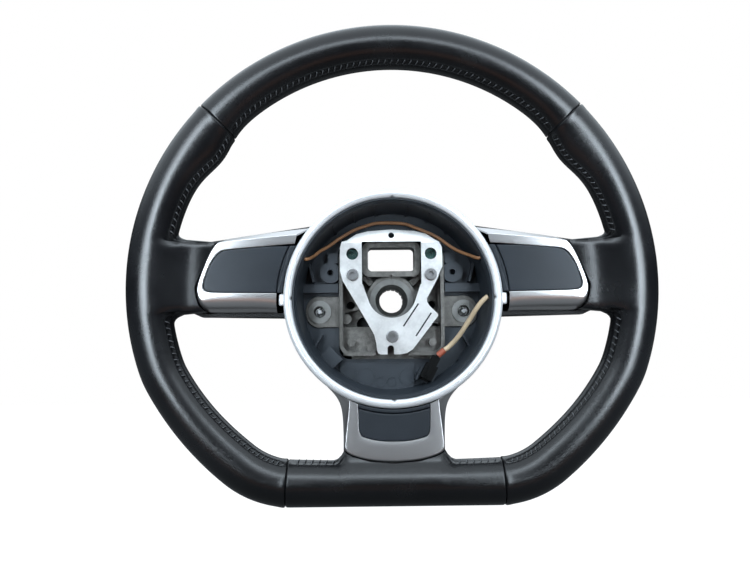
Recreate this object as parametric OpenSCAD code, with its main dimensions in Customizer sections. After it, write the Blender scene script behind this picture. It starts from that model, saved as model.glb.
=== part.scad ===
// Flat-bottomed three-spoke car steering wheel, shown without its horn pad.
// Worked out flat on its hub: x to the right, y up the wheel, z towards the driver,
// from the rear face of the hub. upright() then stands it up with the driver at -Y.

/* [Rim] */
// Overall width of the rim
rim_w = 370; // [356:1:384]
// Height of the rim circle's centre above the steering axis
rim_rise = 8.6; // [6:0.2:11]
// Outer radius of the bend below the side spokes
shoulder_r = 80; // [74:1:88]
// Turn of that bend in degrees
shoulder_turn = 10.5; // [9:0.5:12]
// Outer radius of the lower sides
side_r = 214; // [204:1:224]
// Turn of the lower sides in degrees
side_turn = 22; // [21:0.5:23]
// Outer radius of the lower corners
corner_r = 74.5; // [71:0.5:78]
// Turn of the lower corners in degrees
corner_turn = 39; // [38:0.5:40]
// Rim width seen from the front
grip_w = 31; // [29:0.5:32.5]
// Rim depth from front to back
grip_d = 33; // [31:0.5:35]
// Height of the rim's middle above the rear face of the hub
rim_z = 58; // [57:0.2:59]
// How far the thumb rest swells into the opening
thumb_swell = 5.6; // [3:0.2:7]
// Angle of the thumb rest from the top in degrees
thumb_angle = 53; // [50:1:56]
// Angle of the upper leather seams from the top in degrees
seam_angle = 46.5; // [42:0.5:48]
// Distance of the lower leather seams from the middle
low_seam_x = 74; // [66:1:80]
// Thickness of the leather
leather_t = 1.3; // [1:0.1:1.8]
// Gap left for the glue and between butted panels
glue_gap = 0.3; // [0.2:0.05:0.4]
// Diameter of the cast core inside the rim
core_d = 12; // [10:0.5:13]

/* [Hub] */
// Major diameter of the splined bore
bore_d = 17.6; // [16:0.1:19]
// Number of spline grooves
splines = 18; // [12:1:18]
// Outer diameter of the steel hub insert
insert_d = 31.6; // [29:0.2:33]
// Depth of the hub insert
hub_h = 24; // [22:0.5:25]
// Outer diameter of the cast boss around it
boss_d = 37; // [35.5:0.5:39]
// Inner width of the cast tray
tray_w = 71; // [69:0.5:72]
// Lower edge of the tray below the axis
tray_drop = 40; // [39:0.5:41]
// Height of the tray wall above the rear face
tray_h = 30; // [28:0.5:31]
// Wall of the tray
tray_wall = 2.6; // [2:0.1:3]
// Underside of the tray floor
floor_z = 8; // [7:0.5:8.5]
// Thickness of the tray floor
floor_t = 4; // [3:0.5:5]
// Width of the window above the boss
window_w = 34; // [30:0.5:36]
// Lower edge of the window
window_y = 21.5; // [21:0.5:23]
// Height of the window
window_h = 17.5; // [14:0.5:18]
// Distance of the horn-pad fixings from the axis
fixing_x = 52.5; // [51.5:0.5:53.5]
// Drop of the horn-pad fixings below the axis
fixing_y = -8; // [-9:0.5:-7]
// Outer diameter of the fixing bushes
bush_d = 13.6; // [12.6:0.2:14.6]
// Shank diameter of the fixing screws
fixing_d = 6; // [5:0.2:6.4]

/* [Steel plate] */
// Thickness of the steel plate
plate_t = 2; // [1.5:0.1:2.5]
// Rear face of the steel plate
plate_z = 32; // [31.5:0.1:33]
// Backward lean of its top tab in degrees
tab_lean = 16; // [10:1:20]
// Distance of the upper screws from the middle
screw_x = 28.4; // [27.6:0.2:29]
// Height of the upper screws
screw_y = 18.4; // [17.5:0.2:19]
// Drop of the lower screw
low_screw_y = -26.3; // [-27:0.1:-25.6]
// Height of the two sunk screws
sunk_y = 33.6; // [33:0.2:34.2]
// Head diameter of the screws
head_d = 9.2; // [8.4:0.2:9.6]
// Head height of the screws
head_h = 3; // [2.4:0.1:3.4]
// Shank diameter of the screws
shank_d = 5.8; // [5:0.1:6]

/* [Housing and covers] */
// Inner radius of the silver bezel ring
ring_in = 70.2; // [69.9:0.1:70.6]
// Outer radius of the silver bezel ring
ring_out = 76.4; // [76:0.1:76.8]
// Rear face of the bezel ring
ring_z = 50; // [49.6:0.1:50.4]
// Height of the bezel ring
ring_h = 11.5; // [10:0.1:12]
// Floor of the black housing
pan_z = 20; // [19.8:0.1:20.6]
// Wall of the black housing
pan_wall = 2.3; // [1.8:0.1:2.5]
// Wall of the rear cover
cover_wall = 2.5; // [2:0.1:2.8]
// Rear face of the rear cover
cover_z = 2; // [1:0.1:2.2]

/* [Spokes] */
// Lower edge of the side spokes at the rim
spoke_low = -10; // [-11:0.5:-9]
// Upper edge of the side spokes at the rim
spoke_high = 41; // [40:0.5:42]
// Outer end of the side trims
trim_end = 136.3; // [135:0.1:137.5]
// Front of the side trims at the rim
trim_front = 64.6; // [64:0.1:65.4]
// Front of the trims at the ring
trim_root = 60.8; // [60.2:0.1:61.4]
// Thickness of the trim shells
trim_t = 2.2; // [1.8:0.1:2.4]
// Thickness of the dark inserts
insert_t = 2.2; // [1.8:0.1:2.4]
// Radius of the rolled lower edge of the side trims
roll_r = 12; // [10:0.5:13]
// Half width of the bottom spoke
low_spoke_w = 35.3; // [34.5:0.1:36]
// Lowest edge of the bottom trim above the lowest edge of the rim
low_trim_gap = 30; // [29:0.5:31]
// Clearance between parts that are clipped together
fit_gap = 0.3; // [0.2:0.05:0.4]

/* [Wiring] */
// Diameter of the brown wire
wire_d = 2.4; // [2:0.1:2.8]
// Diameter of the beige lead
lead_d = 3.5; // [3:0.1:4]

/* [Hidden] */
$fn = 96;
eps = 0.01;

// The rim path: outer arcs from the top down the right side, as radius and turn.
rim_arcs = [
    [rim_w / 2, 180 - shoulder_turn - side_turn - corner_turn],
    [shoulder_r, shoulder_turn],
    [side_r, side_turn],
    [corner_r, corner_turn],
];
half_w = grip_w / 2;
half_d = grip_d / 2;
rim_top = rim_rise + rim_w / 2;
function mid_r(i) = rim_arcs[i][0] - half_w;
function arc_len(i) = mid_r(i) * rim_arcs[i][1] * PI / 180;
function swing(r, a, b) = r * [sin(b) - sin(a), cos(b) - cos(a)];
function head_at(i) = i == 0 ? 0 : head_at(i - 1) + rim_arcs[i - 1][1];
function start_at(i) = i == 0 ? [0, rim_top - half_w]
    : start_at(i - 1) + swing(mid_r(i - 1), head_at(i - 1), head_at(i));
flat_x = start_at(4)[0];
flat_y = start_at(4)[1];
half_len = arc_len(0) + arc_len(1) + arc_len(2) + arc_len(3) + flat_x;
rim_low = flat_y - half_w;

// Point and outward normal at a length s along the middle of the rim, from the top.
function walk(s, i) = i == 4 ? [flat_x - s, flat_y, 0, -1]
    : s > arc_len(i) ? walk(s - arc_len(i), i + 1)
    : let(h = head_at(i) + s / mid_r(i) * 180 / PI,
          p = start_at(i) + swing(mid_r(i), head_at(i), h))
      [p[0], p[1], sin(h), cos(h)];
function flip(q) = [-q[0], q[1], -q[2], q[3]];
function rim_at(s) = s < 0 ? flip(rim_at(-s))
    : s > half_len ? flip(rim_at(2 * half_len - s)) : walk(s, 0);

// Lengths along the rim where a side spoke begins and ends.
function s_at_height(y) = acos((y - rim_rise) / mid_r(0)) * mid_r(0) * PI / 180;
s_high = s_at_height(spoke_high);
s_low = s_at_height(spoke_low);
s_seam = seam_angle * mid_r(0) * PI / 180;
s_thumb = thumb_angle * mid_r(0) * PI / 180;
s_low_seam = half_len - low_seam_x;
s_low_spoke = half_len - low_spoke_w;

// How far the leather runs in along a spoke, and how thick that web is.
side_reach = 33;
side_fillet = 12;
low_reach = 7.5;
low_fillet = 8;
web_half = 8.6;
edge_round = 6;
function fillet(d, r) = d >= r ? 0 : r - sqrt(r * r - (r - d) * (r - d));
function reach(d, full, r) = d <= 0 ? full : fillet(d, r);
function edge(d) = d <= -edge_round ? 1 : d >= 0 ? 0.4
    : 0.4 + 0.6 * sqrt(1 - pow((d + edge_round) / edge_round, 2));
function fold(s) = s < 0 ? -s : s > half_len ? 2 * half_len - s : s;
function past_side(s) = max(s_high - fold(s), fold(s) - s_low);
function past_low(s) = s_low_spoke - fold(s);
function web_reach(s) = reach(past_side(s), side_reach, side_fillet)
    + reach(past_low(s), low_reach, low_fillet);
function web_t(s) = web_half * max(past_side(s) < side_fillet ? edge(past_side(s)) : 0,
    past_low(s) < low_fillet ? edge(past_low(s)) : 0);
function bell(s, mid, width) = exp(-pow((s - mid) / width, 2));
function swell(s) = thumb_swell * bell(fold(s), s_thumb, 21) + 2 * bell(fold(s), s_low + 130, 50);

// One ring of points round the rim at length s, inset from the leather's outer face.
sides = 14;
function web_side(s, d, inset) = let(a = half_w + swell(s) + web_reach(s) - inset)
    (web_t(s) - inset) * sqrt(max(0, 1 - pow(min(1, d / a), 6)));
function inner_point(s, a, inset) = let(
        base = half_w + swell(s) - inset,
        wide = base + web_reach(s),
        d = -cos(a) * wide,
        rim_t = (half_d - inset) * sqrt(max(0, 1 - pow(min(1, d / base), 2))),
        web = web_reach(s) > 0 ? max(0, web_side(s, d, inset)) : 0,
        t = pow(pow(rim_t, 4) + pow(web, 4), 0.25))
    [-d, sign(round(sin(a) * 1000)) * t];
function ring_point(s, a, inset) = cos(a) >= 0
    ? [(half_w - inset) * cos(a), (half_d - inset) * sin(a)] : inner_point(s, a, inset);
function ring(s, inset) = let(q = rim_at(s))
    [for (k = [0:sides - 1]) let(p = ring_point(s, 360 * k / sides, inset))
        [q[0] + q[2] * p[0], q[1] + q[3] * p[0], rim_z + p[1]]];

// Lengths along half the rim that get a ring of points, closer together at the spokes.
edge_steps = [12, 8, 5, 2.5, 0.4, -0.4, -1.5, -3.5, -7];
half_stations = concat(
    [for (k = [0:9]) k * (s_seam - 8) / 9],
    [s_seam, s_seam + 9, s_seam + 19, s_seam + 30, s_seam + 42, s_seam + 54],
    [for (d = edge_steps) s_high - d],
    [for (k = [1:3]) s_high + 7 + k * (s_low - s_high - 14) / 4],
    [for (k = [len(edge_steps) - 1:-1:0]) s_low + edge_steps[k]],
    [for (k = [1:10]) s_low + 12 + k * (s_low_seam - s_low - 12) / 11],
    [s_low_seam, s_low_seam + 15],
    [for (d = [8, 4, 0.4, -0.4, -3, -7]) s_low_spoke - d],
    [half_len - 14, half_len]);
count = len(half_stations);
stations = concat(half_stations, [for (k = [count - 2:-1:1]) 2 * half_len - half_stations[k]]);
far_stations = [for (k = [count - 1:-1:1]) -half_stations[k]];
function between(a, b) = concat([a + glue_gap / 2],
    [for (s = concat(far_stations, stations)) if (s > a + 1 && s < b - 1) s], [b - glue_gap / 2]);

module upright() rotate([90, 0, 0]) children();
module mirrored() {
    children();
    mirror([1, 0, 0]) children();
}
// An outline in the wheel's plane, drawn between two heights.
module slab(z0, z1) translate([0, 0, z0]) linear_extrude(z1 - z0) children();
module peg(x, y, d, z0, z1) translate([x, y, z0]) cylinder(d = d, h = z1 - z0);
// An outline in x and z, drawn between two heights up the wheel.
module side_slab(y0, y1) translate([0, y1, 0]) rotate([90, 0, 0]) linear_extrude(y1 - y0) children();
// An outline in y and z, drawn across the wheel.
module cross_slab(x0, x1)
    translate([x0, 0, 0]) rotate([90, 0, 90]) linear_extrude(x1 - x0) children();
module rounded(w, h, r) {
    square([w - 2 * r, h], center = true);
    square([w, h - 2 * r], center = true);
    for (x = [-1, 1], y = [-1, 1]) translate([x * (w / 2 - r), y * (h / 2 - r)]) circle(r);
}

/* Rim: cast core, foam and the four leather panels */
// Each arc of the core stops a little short of the next, inside a cast knuckle.
core_nick = 0.6;
knuckle_d = core_d + 0.6;
module core_arc(i) {
    nick = core_nick / mid_r(i) * 180 / PI;
    both = i == 0 ? rim_arcs[0][1] : 0;
    centre = start_at(i) - mid_r(i) * [sin(head_at(i)), cos(head_at(i))];
    translate([centre[0], centre[1], rim_z])
        rotate([0, 0, 90 - head_at(i) - rim_arcs[i][1] + nick])
            rotate_extrude(angle = rim_arcs[i][1] + both - 2 * nick)
                translate([mid_r(i), 0]) circle(d = core_d);
}
module core_ring() {
    core_arc(0);
    mirrored() for (i = [1:4]) {
        if (i < 4) core_arc(i);
        translate([start_at(i)[0], start_at(i)[1], rim_z]) rotate([0, 0, -head_at(i)])
            rotate([0, 90, 0]) cylinder(d = knuckle_d, h = 6, center = true);
    }
    translate([core_nick - flat_x, flat_y, rim_z])
        rotate([0, 90, 0]) cylinder(d = core_d, h = 2 * (flat_x - core_nick));
}

function strip(a, b, i, j) = [[a + i, b + i, b + j], [a + i, b + j, a + j]];
// On the left half the quads are split the other way, so that both halves mirror each other.
function left_side(s) = s < 0 || s > half_len;
function split(s, a, b, i, j) = left_side(s) ? [[a + i, b + i, a + j], [b + i, b + j, a + j]] : strip(a, b, i, j);
module leather_panel(from, to) {
    places = between(from, to);
    last = len(places) - 1;
    outer = [for (s = places) for (p = ring(s, 0)) p];
    inner = [for (s = places) for (p = ring(s, leather_t)) p];
    shift = len(outer);
    end = last * sides;
    wall = [for (n = [0:last - 1], k = [0:sides - 1])
        each split((places[n] + places[n + 1]) / 2, n * sides, (n + 1) * sides, k, (k + 1) % sides)];
    lining = [for (f = wall) [f[2] + shift, f[1] + shift, f[0] + shift]];
    first_cap = [for (k = [0:sides - 1]) each strip(0, shift, (k + 1) % sides, k)];
    last_cap = [for (k = [0:sides - 1]) each strip(end, end + shift, k, (k + 1) % sides)];
    polyhedron(concat(outer, inner), concat(wall, lining, first_cap, last_cap));
}
module foam_body() {
    points = [for (s = stations) for (p = ring(s, leather_t + glue_gap)) p];
    turns = len(stations);
    faces = [for (n = [0:turns - 1], k = [0:sides - 1])
        each split(stations[n] + 1, n * sides, (n + 1) % turns * sides, k, (k + 1) % sides)];
    polyhedron(points, faces);
}
// Room for the core in the foam: an eight-sided channel round the whole rim.
module core_channel() {
    links = 60;
    n = 8;
    r = core_d / 2 + 1.7;
    points = [for (m = [0:links - 1]) let(q = rim_at(m * 2 * half_len / links))
        for (k = [0:n - 1]) let(a = (k + 0.5) * 360 / n)
            [q[0] + q[2] * r * cos(a), q[1] + q[3] * r * cos(a), rim_z + r * sin(a)]];
    faces = [for (m = [0:links - 1], k = [0:n - 1])
        each strip(m * n, (m + 1) % links * n, k, (k + 1) % n)];
    polyhedron(points, faces);
}

/* Spokes: front and back outlines shared by the frame, the cover and the trims */
low_end = rim_low + low_trim_gap;
arm_low = 0;
arm_high = 28;
arm_front = [[34, 20], [72, 20], [126, 56.5], [trim_end, 59.5], [mid_r(0), 62]];
arm_back = [[mid_r(0), 53.4], [trim_end - 2, 52.8], [126, 47], [76, 12], [66, 10], [34, 10]];
module side_arm() {
    difference() {
        intersection() {
            side_slab(-40, 50) polygon(concat(arm_front, arm_back));
            slab(0, 70) polygon([[34, -20], [54, -17], [59, -8.8], [84, -7.5], [126, arm_low + 1],
                [mid_r(0) + 1, arm_low + 2], [mid_r(0) + 1, arm_high - 2], [126, arm_high],
                [84, 33], [34, 33]]);
        }
        slab(0, 70) polygon([[80, 2], [114, 7], [120, 13], [114, 21], [80, 25], [76, 13]]);
    }
}
low_root = -ring_out - fit_gap;
low_front = [[-36, 20], [-71, 20], [low_end + 8, 56.5], [low_end, 60], [flat_y, 62]];
low_back = [[flat_y, 53.4], [low_end, 52.8], [low_end + 3, 50.8], [low_end + 8, 44], [-75, 10], [-36, 10]];
module low_arms() {
    difference() {
        intersection() {
            cross_slab(-40, 40) polygon(concat(low_front, low_back));
            slab(0, 70) polygon([[-30, -36], [30, -36], [27, -70], [26, flat_y - 1],
                [-26, flat_y - 1], [-27, -70]]);
        }
        slab(0, 70) translate([0, (low_end + low_root) / 2 + 6]) rounded(30, 26, 4);
    }
}

tray_rise = 40;
window_mid = window_y + window_h / 2;
module tray_outline(grow) translate([0, (tray_rise - tray_drop) / 2])
    rounded(tray_w + 2 * grow, tray_rise + tray_drop + 2 * (grow - tray_wall), 6 + grow);
module fixing_boss() intersection() {
    slab(floor_z + 4, hub_h) translate([fixing_x, fixing_y]) {
        translate([0, 1.5]) circle(d = bush_d + 6);
        translate([0, -1.5]) circle(d = bush_d + 6);
        translate([-14, -11]) square([14, 22]);
    }
    slab(0, 60) translate([33, -30]) square([60, 60]);
}
module armature_solid() {
    slab(floor_z, floor_z + floor_t) tray_outline(tray_wall);
    slab(floor_z, tray_h) difference() {
        tray_outline(tray_wall);
        tray_outline(0);
        translate([-40, tray_rise - 6]) square([80, 40]);
        translate([-12, -60]) square([24, 30]);
    }
    slab(floor_z - 3, hub_h - 1) circle(d = boss_d);
    slab(floor_z + 1, hub_h + 2) translate([0, window_mid]) rounded(window_w + 8, window_h + 8, 5);
    // Ribs between the tray wall, the window and the boss
    mirrored() {
        slab(floor_z + 1, hub_h - 4) polygon([[13, 14], [16, 11], [29, 24], [26, 27]]);
        slab(floor_z + 1, hub_h - 6)
            polygon([[14, -4], [tray_w / 2 + 1, -9], [tray_w / 2 + 1, -6.5], [14, -1]]);
        peg(screw_x, screw_y, 12, floor_z + 1, plate_z);
        peg(screw_x, sunk_y, 11, floor_z + 1, plate_z - 6);
        peg(29.5, -30.4, 5.8, floor_z + 1, tray_h - 2);
        peg(33, -13.4, 7.2, floor_z + 1, tray_h - 6);
        fixing_boss();
        side_arm();
    }
    peg(-14.8, -34.4, 6.6, floor_z + 1, tray_h - 4);
    slab(floor_z + 1, tray_h - 8) difference() {
        translate([0, -29.5]) square([tray_w, 21], center = true);
        translate([0, -18]) circle(r = 14.5);
        translate([0, -45]) square([26, 20], center = true);
    }
    peg(0, low_screw_y, 13, floor_z + 1, plate_z);
    low_arms();
    core_ring();
}
module armature() {
    color("darkgray") upright() difference() {
        armature_solid();
        peg(0, 0, insert_d, -1, hub_h + 1);
        slab(0, 60) translate([0, window_mid]) rounded(window_w, window_h, 3);
        mirrored() {
            peg(screw_x, screw_y, shank_d, plate_z - 14, plate_z + 1);
            peg(screw_x, sunk_y, shank_d, plate_z - 18, plate_z);
            peg(30, -2.8, 6.2, 0, 40);
            peg(fixing_x, fixing_y, bush_d, 0, 40);
            slab(0, floor_z + floor_t + 1) translate([20, -17]) circle(r = 5.5);
            peg(cover_screw_x, cover_screw_y, 4, 0, floor_z + 10);
            peg(22, -34, 4, 0, floor_z + 10);
        }
        peg(0, low_screw_y, shank_d, plate_z - 14, plate_z + 1);
        // Index mark on the front of the boss
        translate([-0.6, insert_d / 2 - 1, hub_h - 2]) cube([1.2, 4, 4]);
    }
}
cover_screw_x = 44.5;
cover_screw_y = 22;

module splined_hub() {
    color("lightsteelblue") upright() difference() {
        peg(0, 0, insert_d, 0, hub_h);
        peg(0, 0, bore_d, -1, hub_h + 1);
        translate([0, 0, hub_h - 4]) cylinder(d1 = bore_d, d2 = insert_d - 8, h = 4 + eps);
        for (k = [0:splines - 1]) rotate([0, 0, (k + 0.5) * 360 / splines])
            translate([bore_d / 2 - 0.5, -0.35, -1]) cube([1.1, 0.7, hub_h - 8]);
        translate([-0.6, insert_d / 2 - 2.5, hub_h - 1.2]) cube([1.2, 4, 4]);
    }
}

// Space that the spoke and its cover take out of the rim's foam and leather
module spoke_room() {
    mirrored() {
        slab(ring_z - 0.4, 90) offset(delta = fit_gap) side_outline(0);
        intersection() {
            slab(20, ring_z) offset(delta = fit_gap) cover_outline();
            side_slab(-60, 90) polygon([[90, 20], [trim_end + 7, 20], [trim_end + 7, ring_z], [90, ring_z]]);
        }
        intersection() {
            slab(20, 70) translate([100, arm_low + 0.6])
                square([mid_r(0) - 98, arm_high - arm_low - 1.2 + 2 * fit_gap]);
            side_slab(-60, 90) polygon([[100, 28], [126.4, 46.3], [trim_end - 2, 52.2],
                [mid_r(0), 52.8], [mid_r(0), 62.6], [100, 62.6]]);
        }
    }
    slab(ring_z - 0.4, 90) offset(delta = fit_gap) low_outline();
    slab(20, ring_z) translate([-low_spoke_w - fit_gap, low_end - 0.3])
        square([2 * (low_spoke_w + fit_gap), 40]);
    cross_slab(-26.6, 26.6) polygon([[low_end + 20, 28], [low_end + 7.7, 43.2], [low_end + 2.8, 50],
        [low_end - 0.5, 52.2], [flat_y, 52.8], [flat_y, 62.6], [low_end + 20, 62.6]]);
}
module rim_foam() {
    color("dimgray") upright() difference() {
        foam_body();
        core_channel();
        spoke_room();
    }
}
module leather_top() color("#1c1d20") upright() leather_panel(-s_seam, s_seam);
module side_leather() upright() difference() {
    leather_panel(s_seam, s_low_seam);
    spoke_room();
}
module leather_right() color("#1c1d20") side_leather();
module leather_left() color("#1c1d20") mirror([1, 0, 0]) side_leather();
module leather_bottom() {
    color("#1c1d20") upright() difference() {
        leather_panel(s_low_seam, 2 * half_len - s_low_seam);
        spoke_room();
    }
}

/* Trims and inserts */
trim_r = ring_out + fit_gap;
module side_outline(drop) difference() {
    polygon([[40, 53], [56.2, 51.7], [107.9, 44.3], [119.5, 42.4 - drop], [122.3, 40 - drop], [129.5, 25.5],
        [trim_end, 8], [trim_end - 0.8, 1], [133.2, -5], [130, -8], [126, trim_low], [84, trim_low],
        [80.2, -11.2], [77.5, -13.4], [75, -16.4], [40, -17]]);
    circle(trim_r);
    translate([trim_r - 2, tab_low - fit_gap]) square([ring_tab + 2, tab_w + 2 * fit_gap]);
}
tab_low = -4.5;
tab_w = 7.5;
trim_low = spoke_low + 0.6;
cover_low = spoke_low - 2;
ring_tab = 3.2;
module cover_outline() polygon([[40, 53], [56.2, 51.7], [107.9, 44.3], [119.5, 42.4], [129.5, 41],
    [trim_end + 6.6, 38], [trim_end + 6.6, -8], [134, cover_low], [40, cover_low]]);
module low_outline() difference() {
    polygon([[-50, -56], [-44.4, -62.5], [-38.6, -70], [-36.4, -77], [-low_spoke_w, -86],
        [-low_spoke_w, low_end + 10], [-33, low_end + 6.6], [-28.4, low_end + 4.4], [-17, low_end + 1.3],
        [0, low_end], [17, low_end + 1.3], [28.4, low_end + 4.4], [33, low_end + 6.6],
        [low_spoke_w, low_end + 10], [low_spoke_w, -86], [36.4, -77], [38.6, -70], [44.4, -62.5], [50, -56]]);
    circle(trim_r);
}
side_bow = [[0, trim_root - 3], [76, trim_root], [100, (trim_root + trim_front) / 2 + 0.7],
    [124, trim_front - 0.4], [150, trim_front]];
module under_front(drop) translate([0, 0, -drop])
    side_slab(-60, 90) polygon(concat(side_bow, [[150, -20], [0, -20]]));
module side_body() intersection() {
    slab(ring_z, 80) side_outline(0);
    under_front(0);
    // Upper wall leaning back towards the rear
    translate([90, 43.6, trim_front]) rotate([0, 0, -4.6]) rotate([-16, 0, 0])
        translate([-60, -90, -60]) cube([120, 90, 60]);
    union() {
        rolled_edge(0);
        // Tip that follows the ring downwards
        translate([70, -20, 0]) cube([14, 12, trim_front - roll_r + 1]);
    }
}
// The space above the rolled lower edge of a side trim
module rolled_edge(inset) translate([90, trim_low + inset, 0]) cross_slab(-60, 60) {
    translate([roll_r, trim_front - roll_r]) circle(r = roll_r);
    translate([roll_r, 0]) square([90, trim_front]);
    square([90, trim_front - roll_r]);
}
module side_insert_outline() difference() {
    polygon([[60, 38.9], [66.5, 38.2], [112, 33.8], [117.5, 33], [121.2, 30], [126.8, 21.5], [131.8, 8.6],
        [131.2, 6], [128.4, 5], [60, 4.2]]);
    circle(trim_r + 0.5);
}
module side_trim() difference() {
    side_body();
    translate([120, arm_low - 0.4, 0]) cube([20, arm_high - arm_low + 0.8, 60.2]);
    intersection() {
        slab(ring_z - 1, 80) offset(delta = -trim_t) side_outline(0);
        under_front(insert_t + trim_t);
        translate([0, 0, -trim_t]) rolled_edge(trim_t);
    }
    difference() {
        slab(40, 90) offset(delta = fit_gap / 2) side_insert_outline();
        under_front(insert_t);
    }
}
module side_insert() difference() {
    intersection() {
        slab(40, 90) side_insert_outline();
        under_front(0.2);
    }
    under_front(insert_t);
    // Step down beside the bezel ring
    difference() {
        slab(40, 90) circle(r = ring_out + 5.6);
        under_front(1);
    }
}
module left_spoke_trim() color("silver") upright() mirror([1, 0, 0]) side_trim();
module right_spoke_trim() color("silver") upright() side_trim();
module left_insert() color("#33383f") upright() mirror([1, 0, 0]) side_insert();
module right_insert() color("#33383f") upright() side_insert();

low_bow = [[low_root + 12, trim_root - 0.8], [low_root, trim_root], [low_end + 12, trim_root + 1.4],
    [low_end - 6, trim_root + 2.2]];
module under_low(drop) translate([0, 0, -drop])
    cross_slab(-60, 60) polygon(concat(low_bow, [[low_end - 6, 0], [low_root + 12, 0]]));
module low_insert_outline() difference() {
    polygon([[-24.8, -66], [24.8, -66], [24.5, low_end + 22], [24.2, low_end + 20], [20.8, low_end + 17.6],
        [11, low_end + 15.6], [0, low_end + 14.8], [-11, low_end + 15.6], [-20.8, low_end + 17.6],
        [-24.2, low_end + 20], [-24.5, low_end + 22]]);
    circle(trim_r + 0.5);
}
module bottom_spoke_trim() {
    color("silver") upright() difference() {
        intersection() {
            slab(ring_z, 80) low_outline();
            under_low(0);
            // Side walls leaning back towards the rear
            side_slab(-130, -40) polygon([[-52, ring_z - 1], [-31.5, 64], [31.5, 64], [52, ring_z - 1]]);
        }
        intersection() {
            slab(ring_z - 1, 80) offset(delta = -trim_t - 0.6) low_outline();
            under_low(insert_t + trim_t);
        }
        translate([-27, low_end - 1, 0]) cube([54, 12, 60.2]);
        difference() {
            slab(40, 90) offset(delta = fit_gap / 2) low_insert_outline();
            under_low(insert_t);
        }
    }
}
module bottom_insert() {
    color("#33383f") upright() difference() {
        intersection() {
            slab(40, 90) low_insert_outline();
            under_low(0.2);
        }
        under_low(insert_t);
        // Step down beside the bezel ring
        difference() {
            slab(40, 90) circle(r = ring_out + 3.4);
            under_low(1);
        }
    }
}

module bezel_ring() {
    mid = (ring_in + ring_out) / 2;
    top = ring_z + ring_h;
    color("gainsboro") upright() difference() {
        union() {
            rotate_extrude() {
                polygon([[ring_in, ring_z], [ring_out, ring_z], [ring_out, top - 2], [ring_out - 1, top - 0.5],
                    [mid, top], [ring_in + 1, top - 0.5], [ring_in, top - 2]]);
            }
            // Tabs that cover the roots of the side trims
            mirrored() slab(ring_z, top - 3) intersection() {
                translate([ring_out - 2, tab_low]) square([ring_tab + 2, tab_w]);
                difference() {
                    circle(r = ring_out + ring_tab - fit_gap);
                    circle(r = ring_out - 1);
                }
            }
        }
        // Small notches round the inner edge
        for (a = [0:90:270]) rotate([0, 0, a]) slab(top - 3, top + 1)
            polygon([[ring_in - 1, -1.8], [ring_in + 0.8, 0], [ring_in - 1, 1.8]]);
    }
}

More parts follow.
